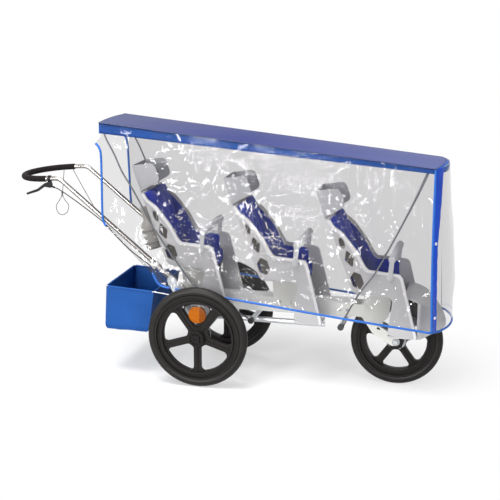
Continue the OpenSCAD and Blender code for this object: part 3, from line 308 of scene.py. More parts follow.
def brushed(name, colour, along_axis, roughness):
    finish = Finish(name, {"Metallic": 1.0, "Roughness": roughness})
    stretch = [90, 90, 90]
    stretch["xyz".index(along_axis)] = 3
    streak = finish.cloud(6.0, 3.0, stretch)
    cloud = finish.cloud(9.0, 3.0)
    finish.wear({"Base Color": finish.mixed(streak, dimmed(colour, 0.8), paint(colour)),
                 "Roughness": roughness - 0.06 + 0.12 * streak + 0.06 * cloud})
    finish.relief(streak, 0.12, 0.0005)
    return finish


def enamel(name, colour, shade, roughness):
    finish = Finish(name, {"Roughness": roughness, "Coat Weight": 0.15, "Coat Roughness": 0.2})
    peel = finish.cloud(260.0, 2.0)
    drift = finish.cloud(7.0, 4.0)
    finish.wear({"Base Color": finish.mixed(drift, paint(shade), paint(colour)),
                 "Roughness": roughness - 0.05 + 0.12 * drift})
    finish.relief(peel, 0.15, 0.0006)
    return finish


brace_metal = brushed("brace_aluminium", "#d3d5d8", "x", 0.36)
cross_metal = brushed("cross_aluminium", "#c6c9cd", "y", 0.34)
bolt_steel = brushed("bolt_steel", "#a9abae", "y", 0.28)
bracket_paint = enamel("off_white_paint", "#e2e2dc", "#d5d5cf", 0.42)
beam_paint = enamel("beam_paint", "#dadad8", "#cccccb", 0.38)
dress(beam_paint, "main_beam")
dress(brace_metal, "brace_tube")
dress(cross_metal, "rear_cross_tube", "axles", "side_plates")
dress(bolt_steel, "frame_bolts")
dress(bracket_paint, "rear_seat_bracket", "middle_seat_bracket", "front_fork")


# Pole tubes: two bare aluminium cross tubes under the beam with black plastic sockets at their ends, from
# which the four thin steel rods of the rain cover rise, bent past the seats to the corners of the roof.
def moulded(name, colour, roughness, grain=700.0):
    finish = Finish(name, {"Roughness": roughness})
    speck = finish.cloud(grain, 3.0)
    drift = finish.cloud(11.0, 3.0)
    finish.wear({"Base Color": finish.mixed(drift, dimmed(colour, 0.9), paint(colour)),
                 "Roughness": roughness - 0.06 + 0.08 * speck + 0.06 * drift})
    finish.relief(speck, 0.2, 0.0004)
    return finish


black_plastic = moulded("black_plastic", "#2b2b2d", 0.45)
rod_metal = brushed("rod_steel", "#75787d", "z", 0.34)
dress(cross_metal, "pole_tubes")
dress(black_plastic, "pole_sockets")


def joined(pieces):
    picked(*pieces)
    bpy.ops.object.join()
    return pieces[0]


# The first point of a rod, a little inside the mouth of its socket.
def rod_foot(base, toward):
    return base + (toward - base).normalized() * 0.007


rear_rod = [rod_foot(spot(243, 176, 322.7), spot(-35, 176, 474.7))] + [spot(*p) for p in (
    (104, 176, 399), (-35, 176, 475), (-65, 176, 501), (-145, 176, 609), (-183, 176, 661), (-275, 176, 801),
    (-304, 176, 859), (-358, 176, 955), (-403, 176, 1027), (-441, 175, 1111), (-483, 174, 1190),
    (-505, 172, 1261.5))]
front_rod = [rod_foot(spot(684, 176, 322.7), spot(706, 176, 382.7))] + [spot(*p) for p in (
    (704, 176, 372), (768, 176, 493), (841, 176, 598), (895, 176, 701), (999, 176, 920), (1060, 174, 1068),
    (1072, 172, 1104.9))]
rods = []
for run in (rear_rod, front_rod):
    for sign in (1, -1):
        rods.append(cord_line("rod", [Vector((p.x, sign * p.y, p.z)) for p in run], 0.004))
cover_rods = pressed(joined(rods))
cover_rods.name = "cover_rods"
cover_rods.data.materials.append(rod_metal.material)
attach(cover_rods, "frame")
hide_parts("cover_poles")


# Wheels: five-spoke moulded wheels in charcoal plastic with solid rubber tyres, steel bearings and hub caps,
# which turn on the axles. The right rear one has the steel plate of the brake beside it.
wheel_plastic = moulded("charcoal_plastic", "#201d1c", 0.42, 500.0)
wheel_plastic.wear({"Specular IOR Level": 0.14})
cap_plastic = moulded("cap_plastic", "#181615", 0.5)
cap_plastic.wear({"Specular IOR Level": 0.14})
rubber = Finish("tyre_rubber", {"Roughness": 0.5, "Specular IOR Level": 0.18})
rubber_drift = rubber.cloud(16.0, 4.0)
rubber.wear({"Base Color": rubber.mixed(rubber_drift, paint("#1a1817"), paint("#242120")),
             "Roughness": 0.34 + 0.2 * rubber_drift})
rubber.relief(rubber.waves("Y", 34.0) + 0.25 * rubber.cloud(420.0, 2.0), 0.18, 0.0012)
dress(wheel_plastic, "rear_wheel_right", "rear_wheel_left", "front_wheel")
dress(rubber, "rear_tyre_right", "rear_tyre_left", "front_tyre")
dress(bolt_steel, "rear_bearings_right", "rear_bearings_left", "front_bearings", "front_hub_rings",
      "brake_plate")
dress(cap_plastic, "rear_cap_right", "rear_cap_left")


# Seat shells: three rotational-moulded seats in pale grey plastic with soft edges, each with an oval, a
# diamond and a six-sided hole in its sides, fixed on the brackets. A grey headrest stands on each back.
def softened(name, width, finishes, body="frame"):
    piece = bpy.data.objects.new(name + "_moulding", nodes[name].data.copy())
    scene.collection.objects.link(piece)
    picked(piece)
    bpy.ops.mesh.customdata_custom_splitnormals_clear()
    bpy.ops.object.mode_set(mode="EDIT")
    bpy.ops.mesh.select_all(action="SELECT")
    bpy.ops.mesh.remove_doubles(threshold=0.00002)
    bpy.ops.mesh.dissolve_limited(angle_limit=math.radians(1))
    bpy.ops.object.mode_set(mode="OBJECT")
    edge = piece.modifiers.new("soft_edge", "BEVEL")
    edge.width = width
    edge.segments = 3
    edge.limit_method = "ANGLE"
    edge.angle_limit = math.radians(40)
    bpy.ops.object.modifier_apply(modifier="soft_edge")
    bpy.ops.object.shade_smooth_by_angle(angle=math.radians(40))
    piece.data.materials.clear()
    for finish in finishes:
        piece.data.materials.append(finish.material)
    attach(piece, body)
    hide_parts(name)
    return piece


seat_places = ("rear", "middle", "front")
rim_half = 0.1592
shell_plastic = moulded("grey_shell_plastic", "#c1c0c1", 0.42, 420.0)
# The rim faces take a lighter grey than the walls, which are the same plastic: a painted highlight along the
# shells' rims.
rim_highlight_plastic = moulded("pale_rim_plastic", "#e4e3e4", 0.36, 420.0)
headrest_plastic = moulded("headrest_plastic", "#bbbcbe", 0.36, 600.0)
for place in seat_places:
    shell = softened(place + "_seat_shell", 0.0022, (shell_plastic, rim_highlight_plastic))
    for face in shell.data.polygons:
        face.material_index = 1 if abs(face.center.y) > rim_half else 0
    rest = softened(place + "_headrest", 0.0012, (headrest_plastic,))


# Reflectors: a round orange lens in a dark plastic frame, with a steel screw at each end, in the top window
# of each rear wheel. It is fixed in the wheel and turns with it.
reflector_lens = Finish("orange_lens", {"Roughness": 0.2, "Coat Weight": 0.1, "Coat Roughness": 0.05,
                                        "Specular IOR Level": 0.1})
prism = reflector_lens.cells(240.0)
# The lens is mixed towards a dark brown-orange over its right third: painted shade across the prisms.
lens_shaded_third = reflector_lens.lengthwise() > -0.092
lens_tone = reflector_lens.mixed(prism * 1.6, paint("#c87400"), paint("#a65400"))
reflector_lens.wear({"Base Color": reflector_lens.mixed(lens_shaded_third * 0.8, lens_tone, paint("#7a3a00"))})
reflector_lens.relief(prism, 0.5, 0.001)
lens_centre = spot(0, 0, 363)
lens_radius = 0.0438
screw_reach = 0.065
for side in ("right", "left"):
    reflector = softened("reflector_" + side, 0.0006, (wheel_plastic, reflector_lens, bolt_steel),
                         "rear_" + side + "_wheel")
    for face in reflector.data.polygons:
        offs = [reflector.data.vertices[i].co - lens_centre for i in face.vertices]
        in_lens = max(math.hypot(off.x, off.z) for off in offs) < lens_radius
        on_screw = min(abs(off.x) for off in offs) > screw_reach
        face.material_index = 1 if in_lens else 2 if on_screw else 0


# Nose: a rounded piece of the shells' grey plastic over the front wheel, between the leg guards of the
# front seat, to which it is fixed.
nose = softened("foot_nose", 0.0012, (shell_plastic,))


# Lap bars: a padded grey roller on two flat posts that swing forward about pins in the shell's sides.
# The roller has a thin cover with a sewn seam at each end.
lap_vinyl = Finish("grey_roller_vinyl", {"Roughness": 0.5})
lap_fold_and_shade = lap_vinyl.cloud(34.0, 3.0, (1, 0.4, 1))
# The cover is darker in the hollows of its folds, which the same pattern raises as bumps: painted shade in
# the creases.
lap_vinyl.wear({"Base Color": lap_vinyl.mixed(lap_fold_and_shade, paint("#bcbdc0"), paint("#d2d3d5")),
                "Roughness": 0.42 + 0.16 * lap_fold_and_shade})
lap_vinyl.relief(lap_fold_and_shade + 0.2 * lap_vinyl.cloud(500.0, 2.0), 0.4, 0.002)
for place in seat_places:
    bar = softened(place + "_lap_bar", 0.001, (lap_vinyl,), place + "_lap")


# Cushions: a navy cloth liner in each shell, sewn from a seat pad and a back pad in three lengthwise rolls,
# two thin side wings on the shell's walls, and an apron that hangs over the front edge of the pan.
# Each is blown up from its sewn lines like a filled cover; the wings' reverse, seen through the shell's
# holes, is a dark brown-grey that paints the shade of the gap behind the holes.
navy_cloth = Finish("navy_cloth", {"Roughness": 0.62, "Sheen Weight": 0.08, "Sheen Roughness": 0.4,
                                   "Sheen Tint": paint("#5c6ed0"), "Specular IOR Level": 0.2})
weave = navy_cloth.waves("Y", 260.0) * navy_cloth.waves("Z", 260.0)
navy_drift = navy_cloth.cloud(14.0, 4.0)
navy_cloth.wear({"Base Color": navy_cloth.mixed(navy_drift, paint("#0d2590"), paint("#2039ba")),
                 "Roughness": 0.5 + 0.2 * navy_drift})
navy_cloth.relief(weave + 0.6 * navy_cloth.cloud(45.0, 3.0), 0.35, 0.0012)
# Dark brown-grey for the wings' reverse faces: painted shade for the gap seen through the shell's holes.
shaded_wing_reverse = moulded("dark_lining", "#4c4744", 0.8)
seam_depth = 0.007


def filled_pad(name, length, width, edge, crown, cap, seams, taper):
    bpy.ops.object.select_all(action="DESELECT")
    bpy.ops.mesh.primitive_grid_add(x_subdivisions=36, y_subdivisions=30, size=2)
    pad = bpy.context.object
    pad.name = name
    bpy.ops.object.mode_set(mode="EDIT")
    bpy.ops.mesh.select_all(action="SELECT")
    bpy.ops.mesh.extrude_region_move(TRANSFORM_OT_translate={"value": (0, 0, 0.5)})
    bpy.ops.mesh.extrude_region_move(TRANSFORM_OT_translate={"value": (0, 0, 0.5)})
    bpy.ops.mesh.select_all(action="SELECT")
    bpy.ops.mesh.normals_make_consistent(inside=False)
    bpy.ops.object.mode_set(mode="OBJECT")
    sewn = pad.vertex_groups.new(name="sewn")
    for point in pad.data.vertices:
        a, v, c = point.co
        u = (a + 1) / 2
        half = width / 2 * (1 - 0.02 * math.sin(math.pi * u))
        half = half * (1 - 0.03 * a ** 6 - taper * max(0, a) ** 4)
        fullness = (1 - v ** 4) * (1 - a ** 4)
        rim = (1 - abs(a) ** 10) * (1 - abs(v) ** 10)
        channel = seams * max(0, 1 - abs(abs(v) - 0.333) * 16) * (1 - a ** 8)
        top = edge * (0.72 + 0.28 * rim) + crown * fullness - seam_depth * channel
        bulge = 0.002 if abs(c - 0.5) < 0.1 else -0.0015
        reach_in = 1 - 0.03 * v ** 6
        point.co = (length / 2 + (length / 2 + bulge) * a * reach_in, (half + bulge) * v, top * c)
        hold = 1.0 if c < 0.1 else min(1, channel * 1.5)
        sewn.add([point.index], hold, "REPLACE")
    before = [point.co.copy() for point in pad.data.vertices]
    cloth = pad.modifiers.new("filling", "CLOTH")
    cloth.settings.quality = 6
    cloth.settings.tension_stiffness = 12
    cloth.settings.compression_stiffness = 12
    cloth.settings.bending_stiffness = 0.3
    cloth.settings.use_pressure = True
    cloth.settings.uniform_pressure_force = 4
    cloth.settings.shrink_min = -0.06
    cloth.settings.vertex_group_mass = "sewn"
    cloth.settings.effector_weights.gravity = 0
    for step in range(1, 21):
        scene.frame_set(step)
    swollen = pad.evaluated_get(bpy.context.evaluated_depsgraph_get()).to_mesh()
    after = [point.co.copy() for point in swollen.vertices]
    pad.modifiers.remove(cloth)
    scene.frame_set(1)
    for point, old, new in zip(pad.data.vertices, before, after):
        step = new - old
        if step.length > cap:
            step = step * (cap / step.length)
        point.co = old + step
        point.co.z = max(point.co.z, 0)
    smooth = pad.modifiers.new("smooth", "SUBSURF")
    smooth.levels = 1
    smooth.render_levels = 1
    bpy.ops.object.modifier_apply(modifier="smooth")
    bpy.ops.object.shade_smooth()
    pad.data.materials.append(navy_cloth.material)
    pad.data.materials.append(shaded_wing_reverse.material)
    return pad


def partway(line, share):
    lengths = [0]
    for a, b in zip(line, line[1:]):
        lengths.append(lengths[-1] + (b - a).length)
    want = max(0, min(1, share)) * lengths[-1]
    for i in range(1, len(line)):
        if lengths[i] >= want or i == len(line) - 1:
            part = (want - lengths[i - 1]) / (lengths[i] - lengths[i - 1])
            return line[i - 1].lerp(line[i], part)


back_lean = math.atan2(134, 360)
back_foot = Vector((-16 + 8 / math.cos(back_lean) - 8 * math.tan(back_lean), 0, -62)) / 1000
up_back = Vector((-math.sin(back_lean), 0, math.cos(back_lean)))
off_back = Vector((math.cos(back_lean), 0, math.sin(back_lean)))
pan_start = Vector((0.004, 0, -0.0612))
wall_half = 0.1463


# A run of points in the side view, with so many steps from each to the next.
def side_run(points, steps, scale):
    return along([Vector((x, 0, z)) / scale for x, z in points], steps)


wing_top = side_run(((-118, 246), (-70, 207), (-30, 164), (0, 119), (21, 76), (48, 42), (100, 39),
                     (162, 33)), 8, 1000)
wing_foot = side_run(((-113, 236), (-58, 100), (-8, -26), (22, -57), (90, -58), (167, -57)), 8, 1000)
apron_line = side_run(((171, -38), (177, -35.5), (183, -38.5), (186.6, -48), (186.6, -97)), 8, 1000)


def on_seat(here, size):
    return here + pan_start


def on_back(here, size):
    place = back_foot + up_back * (0.034 + here.x) + off_back * (here.z + 0.0008)
    return Vector((place.x, here.y, place.z))


def on_wall(here, size):
    share = here.x / size[0]
    place = partway(wing_top, share).lerp(partway(wing_foot, share), here.y / size[1] + 0.5)
    return Vector((place.x, wall_half - here.z, place.z))


def over_edge(here, size):
    place = partway(apron_line, here.x / size[0])
    ahead = partway(apron_line, here.x / size[0] + 0.02)
    behind = partway(apron_line, here.x / size[0] - 0.02)
    run = (ahead - behind).normalized()
    return place + here.z * Vector((-run.z, 0, run.x)) + Vector((0, here.y, 0))


patterns = []
for name, size, edge, crown, cap, seams, taper, lay in (
        ("seat_pad", (0.164, 0.266), 0.023, 0.010, 0.006, 1, 0, on_seat),
        ("back_pad", (0.338, 0.264), 0.021, 0.010, 0.006, 1, -0.07, on_back),
        ("wing", (0.300, 0.120), 0.006, 0.0025, 0.002, 0, 0, on_wall),
        ("apron", (0.080, 0.252), 0.0022, 0.0006, 0.0005, 0, 0, over_edge)):
    patterns.append((filled_pad(name, *size, edge, crown, cap, seams, taper), size, lay))
for place, x, z in (("rear", -167, 634), ("middle", 298, 591), ("front", 754, 551)):
    origin = spot(x, 0, z)
    for pattern, size, lay in patterns:
        is_wing = pattern.name == "wing"
        for hand, side in ((("left_", 1), ("right_", -1)) if is_wing else (("", 1),)):
            pad = bpy.data.objects.new(place + "_" + hand + pattern.name + "_cloth", pattern.data.copy())
            scene.collection.objects.link(pad)
            for point in pad.data.vertices:
                laid = lay(point.co.copy(), size)
                point.co = origin + Vector((laid.x, side * laid.y, laid.z))
            pressed(pad)
            bpy.ops.object.shade_smooth()
            if is_wing:
                for face in pad.data.polygons:
                    face.material_index = 1 if face.normal.y * side > 0.5 else 0
            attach(pad, "frame")
    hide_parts(place + "_cushions")
for pattern, _, _ in patterns:
    bpy.data.objects.remove(pattern)


# Basket: an open bag of blue coated cloth behind the rear axle, sewn from five panels and hung from a bent
# wire that runs in a casing along its rim. Its walls are slack and fall into shallow folds.
def coated_cloth(name, light, dark, roughness):
    finish = Finish(name, {"Roughness": roughness, "Specular IOR Level": 0.12})
    drift = finish.cloud(9.0, 4.0)
    crumple = finish.cloud(60.0, 3.0)
    finish.wear({"Base Color": finish.mixed(drift, paint(dark), paint(light)),
                 "Roughness": roughness - 0.08 + 0.2 * crumple})
    finish.relief(crumple + 0.25 * finish.waves("DIAGONAL", 300.0), 0.3, 0.0015)
    return finish


def thickened(piece, thickness):
    wall = piece.modifiers.new("wall", "SOLIDIFY")
    wall.thickness = thickness
    wall.offset = -1
    bpy.ops.object.modifier_apply(modifier="wall")


basket_half = 208.5
basket_cloth = coated_cloth("blue_basket_cloth", "#1d56a0", "#15468a", 0.55)
bpy.ops.object.select_all(action="DESELECT")
bpy.ops.mesh.primitive_cube_add(size=2)
basket = bpy.context.object
basket.name = "basket_bag"
bpy.ops.object.mode_set(mode="EDIT")
bpy.ops.mesh.select_all(action="DESELECT")
bpy.ops.object.mode_set(mode="OBJECT")
for face in basket.data.polygons:
    face.select = face.normal.z > 0.5
bpy.ops.object.mode_set(mode="EDIT")
bpy.ops.mesh.delete(type="FACE")
bpy.ops.mesh.select_all(action="SELECT")
bpy.ops.mesh.subdivide(number_cuts=23)
bpy.ops.object.mode_set(mode="OBJECT")
for point in basket.data.vertices:
    a, b, c = point.co
    end = 1 if a > 0 else -1
    side = 1 if b > 0 else -1
    drop = (1 - c) / 2
    along_x = (a + 1) / 2
    rear = -490 - 13 * drop
    ahead = -243 - 33 * drop
    top = 453 - 15 * along_x
    bottom = 230 - 3 * along_x
    low = max(0, drop - 0.86) / 0.14
    tuck = 10 * low * low
    x = rear + (ahead - rear) * along_x
    x = x - tuck * (max(0, abs(a) - 0.75) / 0.25) ** 2 * end
    y = basket_half * b - tuck * (max(0, abs(b) - 0.85) / 0.15) ** 2 * side
    z = top + (bottom - top) * drop
    slack = math.sin(math.pi * min(1, drop * 1.1)) if drop < 0.95 else 0
    fold = noise.noise(Vector((x / 90, y / 90, z / 120))) * 5 * slack
    fold = fold + noise.noise(Vector((x / 35, y / 35, z / 60 + 7))) * 1.6 * slack
    if abs(b) > 0.999 and abs(a) < 0.999:
        y = y + (fold - 3 * slack * (1 - a * a)) * side
    if abs(a) > 0.999 and abs(b) < 0.999:
        x = x + (fold - 4 * slack * (1 - b * b)) * end
    if c < -0.999:
        z = z + 2 + noise.noise(Vector((x / 60, y / 60, 3))) * 3 - 4 * (1 - a * a) * (1 - b * b)
    point.co = spot(x, y, z)
bpy.ops.object.shade_smooth_by_angle(angle=math.radians(60))
thickened(basket, 0.0014)
basket.data.materials.append(basket_cloth.material)
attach(basket, "frame")
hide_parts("basket")
right_rear, right_front = spot(-490, -207, 456.3), spot(-243, -207, 441.3)
left_rear, left_front = spot(-490, 207, 456.3), spot(-243, 207, 441.3)
casing_runs = []
for start, end in ((right_rear, right_front), (left_rear, left_front), (right_rear, left_rear),
                   (right_front, left_front)):
    steps = [start.lerp(end, 0.03 + 0.94 * i / 12) for i in range(13)]
    for point in steps:
        point.z = point.z - 0.0012 + 0.0006 * noise.noise(point * 40)
    casing_runs.append(cord_line("casing", steps, 0.0052))
rim_casing = pressed(joined(casing_runs))
rim_casing.name = "basket_rim_casing"
rim_casing.data.materials.append(basket_cloth.material)
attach(rim_casing, "frame")
dress(bolt_steel, "basket_frame")


# Rain cover roof: one long panel of purple-blue coated cloth, bowed a little across, with a blue band sewn
# on down each side and across the front, and a dark welt in the side seams. It rests on the four rods.
roof_rear = -516
roof_front = 1106
roof_run = roof_front - roof_rear
roof_length = 1630
roof_half = 181.5
roof_fall = math.radians(5.66)
wall_lean = math.radians(3.18)


def roof_at(x):
    return 1265 - math.tan(roof_fall) * (x - roof_rear)


def side_at(x, z):
    return 180 + math.tan(wall_lean) * math.cos(roof_fall) * (roof_at(x) - z)


def ripple(x, y, z, size, seed):
    return noise.noise(Vector((x / size, y / size, z / size + seed * 17.3)))


# A sheet of so many squares, each corner laid by place, and turned to face outwards.
def laid_grid(name, along_count, across_count, place, outwards):
    bpy.ops.object.select_all(action="DESELECT")
    bpy.ops.mesh.primitive_grid_add(x_subdivisions=along_count, y_subdivisions=across_count, size=2)
    sheet = bpy.context.object
    sheet.name = name
    for point in sheet.data.vertices:
        point.co = place((point.co.x + 1) / 2, point.co.y)
    bpy.ops.object.shade_smooth()
    total = sum((face.normal for face in sheet.data.polygons), Vector())
    if total.dot(outwards) < 0:
        bpy.ops.object.mode_set(mode="EDIT")
        bpy.ops.mesh.select_all(action="SELECT")
        bpy.ops.mesh.flip_normals()
        bpy.ops.object.mode_set(mode="OBJECT")
    return sheet


def roof_place(u, w):
    x = roof_rear + u * (roof_length * math.cos(roof_fall) + 34 * (1 - w * w))
    slack = 1 - w ** 4
    z = roof_at(x) + 14 * (1 - w * w) * (0.55 + 0.45 * min(1, 4 * u))
    folds = 3.5 * ripple(x, w * 120, 0, 210, 1) + 1.4 * ripple(x * 0.6, w * 160, 0, 60, 2)
    return spot(x, w * roof_half, z + slack * folds - 1.5 * slack)


roof_cloth = Finish("purple_roof_cloth", {"Roughness": 0.6, "Specular IOR Level": 0.12})
# The roof is lighter and greyer at its rear and front ends than in its middle, and the drift streaks it
# towards a grey: painted sheen and reflection on the purple-blue cloth.
roof_sheen_drift = roof_cloth.cloud(3.2, 4.0, (0.6, 1.6, 1))
roof_crumple = roof_cloth.cloud(38.0, 3.0, (0.7, 1.4, 1))
roof_share = roof_cloth.node("MapRange", None, {
    "Value": roof_cloth.lengthwise(), "From Min": -0.62, "From Max": 1.0})
roof_sheen_tone = roof_cloth.node("ValToRGB", {"stops": (
    (0.0, paint("#353a58")), (0.45, paint("#182262")), (1.0, paint("#535a88")))}, {0: roof_share})
roof_cloth.wear({"Base Color": roof_cloth.mixed(roof_sheen_drift * 0.5, roof_sheen_tone, paint("#52587e")),
                 "Roughness": 0.5 + 0.24 * roof_sheen_drift})
roof_cloth.relief(roof_crumple, 0.22, 0.002)
band_cloth = coated_cloth("blue_band_cloth", "#1e5ab0", "#154a9a", 0.34)
band_cloth.wear({"Specular IOR Level": 0.06})


def clad(sheet, index):
    sheet.data.materials.append(roof_cloth.material)
    sheet.data.materials.append(band_cloth.material)
    for face in sheet.data.polygons:
        face.material_index = index
    return sheet


def front_band_place(u, w):
    across = 2 * u - 1
    bow = 1 - across ** 2
    x = roof_front + 34 * bow
    drop = (w + 1) / 2
    ahead = (roof_front + 46 * (1 - abs(across) ** 2.2) - x + 1.5) * min(1, 3 * drop)
    return spot(x + ahead, across * roof_half, roof_at(x) + 14 * bow - 1 - (22 + 14 * bow) * drop)


roof = clad(laid_grid("cover_roof_cloth", 140, 22, roof_place, Vector((0, 0, 1))), 0)
bands = []
for sign in (-1, 1):
    def band_place(u, w, sign=sign):
        x = roof_rear + u * roof_run
        depth = 2.5 + (w + 1) / 2 * (50.5 - 29 * u)
        z = roof_at(x) - depth
        out = side_at(x, z) - 3.8 + 0.8 * ripple(x, depth * 2, 0, 45, 3) * (w + 1) / 2
        return spot(x, sign * out, z)
    bands.append(clad(laid_grid("band", 160, 4, band_place, Vector((0, sign, 0))), 1))
bands.append(clad(laid_grid("band", 60, 6, front_band_place, Vector((1, 0, 0))), 1))
thickened(joined([roof] + bands), 0.001)
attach(roof, "frame")
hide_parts("cover_roof")
welt_finish = moulded("dark_welt", "#222e58", 0.4)
welts = []
welt_places = [roof_rear + 2 + i * 40.5 for i in range(41)]
for sign in (-1, 1):
    line = [spot(x, sign * 182.2, roof_at(x) - 0.5) for x in welt_places]
    welts.append(cord_line("welt", line, 0.0015))
roof_welt = pressed(joined(welts))
roof_welt.name = "roof_welt"
roof_welt.data.materials.append(welt_finish.material)
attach(roof_welt, "frame")


# Rain cover panels: clear vinyl sheet, creased from folding, on both sides and bowed across the front.
# They hang from the roof's bands and end in a bound edge; the rear is open above the basket.
def clear_sheet(name, crease_depth, crumpled):
    sheet = Finish(name, {"Base Color": (0.96, 0.96, 0.97, 1), "Roughness": 0.06, "Metallic": 1.0})
    fine = sheet.cloud(30.0, 4.0, (1, 1, 0.6))
    broad = sheet.cloud(7.0, 3.0, (1, 1, 0.7))
    stretched = sheet.node("Mapping", None, {"Vector": sheet.place, "Scale": (1, 0.2, 0.7)})
    line = sheet.node("TexVoronoi", {"feature": "DISTANCE_TO_EDGE"}, {"Vector": stretched, "Scale": 9.0})
    fold = sheet.node("Math", {"operation": "MINIMUM"}, {0: line, 1: 0.09})
    calm = sheet.eased(sheet.lengthwise(), -0.52, -0.2, 0.2, 1.0)
    height = calm * (0.1 * fine + 0.55 * broad + 1.1 * fold)
    for x, z, reach, depth in crumpled:
        away = sheet.node("VectorMath", {"operation": "SUBTRACT"}, {0: sheet.place, 1: spot(x, 0, z)})
        away = sheet.node("VectorMath", {"operation": "MULTIPLY"}, {0: away, 1: (1, 0, 1)})
        away = sheet.node("VectorMath", {"operation": "LENGTH"}, {0: away}, "Value")
        height = height + sheet.eased(away, 0.0, reach, depth, 0.0) * sheet.cloud(34.0, 2.0, (0.5, 0.3, 1.3))
    sheet.relief(height, 0.8, crease_depth)
    film = sheet.node("BsdfTransparent", None, {"Color": (0.79, 0.786, 0.792, 1)})
    slant = sheet.node("LayerWeight", None, {"Blend": 0.5}, "Facing")
    haze = sheet.eased(sheet.cloud(5.0, 3.0, (1.3, 1, 0.5)), 0.48, 0.72, 0.0, 0.035)
    sheet.layered(0.02 + haze + 0.7 * slant ** 4, film, sheet.body)
    return sheet


clear_vinyl = clear_sheet("clear_vinyl", 0.012, (
    (-103, 756, 0.12, 0.75), (96, 747, 0.12, 0.6), (-14, 652, 0.12, 0.4), (239, 493, 0.14, 0.65),
    (-388, 1178, 0.10, 0.4), (-199, 1069, 0.08, 0.3), (25, 1155, 0.15, 0.5), (316, 1119, 0.15, 0.55),
    (244, 1030, 0.08, 0.4), (426, 1038, 0.10, 0.45), (351, 708, 0.12, 0.6), (560, 1125, 0.17, 0.6),
    (695, 1072, 0.13, 0.5), (815, 895, 0.11, 0.45), (532, 838, 0.12, 0.45), (700, 812, 0.11, 0.6),
    (962, 945, 0.08, 0.4), (996, 380, 0.10, 0.5)))
front_vinyl = clear_sheet("clear_front_vinyl", 0.003, ())
rear_points = [(-185, 481), (-215, 499), (-245, 550), (-270, 573.5), (-455, 747), (-485, 775), (-495, 820),
               (-497, 1000), (-502, 1125), (-528, 1168), (-506, 1196), (-512, 1228), (-516, 1262)]
hem_points = [(-185, 481), (-128, 473), (104, 448.5), (386, 418), (640, 391), (880, 367), (1108, 346.4),
              (1123, 345)]
rear_line = side_run(rear_points, 12, 1)
hem_line = side_run(hem_points, 12, 1)
rear_top = Vector((roof_rear, 0, 1262))
front_top = Vector((roof_front, 0, 1101))
front_foot = Vector((1123, 0, 345))


# A place on a side panel: u runs from the rear to the front and t from the roof down to the hem.
def side_spot(u, t):
    low = partway(hem_line, u)
    rear = partway(rear_line, 1 - t)
    top_x = roof_rear + roof_run * u
    top = Vector((top_x, 0, roof_at(top_x) - 3))
    front = front_top.lerp(front_foot, t)
    corner = ((1 - u) * (1 - t) * rear_top + u * (1 - t) * front_top
              + (1 - u) * t * hem_line[0] + u * t * hem_line[-1])
    return (1 - u) * rear + u * front + (1 - t) * top + t * low - corner


for side, sign in (("right", -1), ("left", 1)):
    def panel_place(u, w, sign=sign):
        t = (1 - w) / 2
        flat = side_spot(u, t)
        x, z = flat.x, flat.z
        inside = min(1, 6 * min(t, 1 - t, u * 1.5, (1 - u) * 1.5))
        gather = math.exp(-t * 9) * min(1, t * 30)
        out = 5 * ripple(x, 0, z, 260, 4 + sign) + 2.6 * ripple(x, 0, z * 0.7, 95, 6 + sign)
        out = out * inside + 2.2 * gather * ripple(x, 0, z * 0.25, 26, 8 + sign)
        out = out + 1.2 * inside * ripple(x * 0.8, 0, z, 36, 9 + sign) - 2.5 * inside
        return spot(x, sign * (side_at(x, z) - 0.8 + out), z)
    panel = laid_grid("cover_" + side + "_vinyl", 200, 96, panel_place, Vector((0, sign, 0)))
    panel.data.materials.append(clear_vinyl.material)
    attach(panel, "frame")
    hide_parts("cover_" + side)


front_height = 755
front_round = 2.2


# The front panel at one height: the height, where its edges stand, how far it bows ahead, its half width.
def front_row(u):
    z = 1100 - front_height * u
    edge = roof_front + 17 * (1104 - z) / 759
    crown = 1202 - 52 * max(0, (z - 553) / 568) ** 1.25 - 8 * max(0, (553 - z) / 200) ** 2
    return z, edge, crown - edge, side_at(edge, z) - 1.5


def front_place(u, w):
    z, edge, bow, half = front_row(u)
    inside = (1 - abs(w) ** 2.5) * min(1, 8 * u, 8 * (1 - u))
    x = edge + bow * (1 - abs(w) ** front_round)
    x = x + inside * (4 * ripple(0, w * 200, z, 170, 11) + 2 * ripple(0, w * 200, z * 0.6, 55, 12) - 3.5)
    return spot(x - 0.8, w * half, z + 12 * (1 - w * w) * (1 - u))


front_panel = laid_grid("cover_front_vinyl", 90, 60, front_place, Vector((1, 0, 0)))
front_panel.data.materials.append(front_vinyl.material)
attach(front_panel, "frame")
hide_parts("cover_front")


# Bound edges: a round blue vinyl binding sewn along the cover's hem and up both rear edges, clear where it
# follows the right handle tube, and a blue cloth zip flap with two white press studs down the front corner.
binding_radius = 0.0055
binding_off = 5.8
binding_vinyl = Finish("blue_binding", {"Roughness": 0.35, "Specular IOR Level": 0.2})
binding_drift = binding_vinyl.cloud(60.0, 3.0)
binding_vinyl.wear({"Base Color": binding_vinyl.mixed(binding_drift, paint("#1d59b0"), paint("#286ac0")),
                    "Roughness": 0.28 + 0.16 * binding_drift})
binding_vinyl.relief(binding_drift, 0.3, 0.0008)
near_hem = side_run(hem_points[1:7], 4, 1)
loop = [spot(p.x, -side_at(p.x, p.z) + 0.75, p.z - binding_off) for p in near_hem]
for j in range(-10, 11):
    w = j / 12
    x = 1123 + (1193.35 - 1123) * (1 - abs(w) ** front_round)
    loop.append(spot(x - 0.75, w * side_at(1123, 345), 345 - binding_off))
loop = loop + [Vector((p.x, -p.y, p.z)) for p in reversed(loop[:len(near_hem)])]
bindings = [cord_line("binding", loop, binding_radius)]
rear_run = side_run([hem_points[1]] + rear_points[:10], 4, 1)
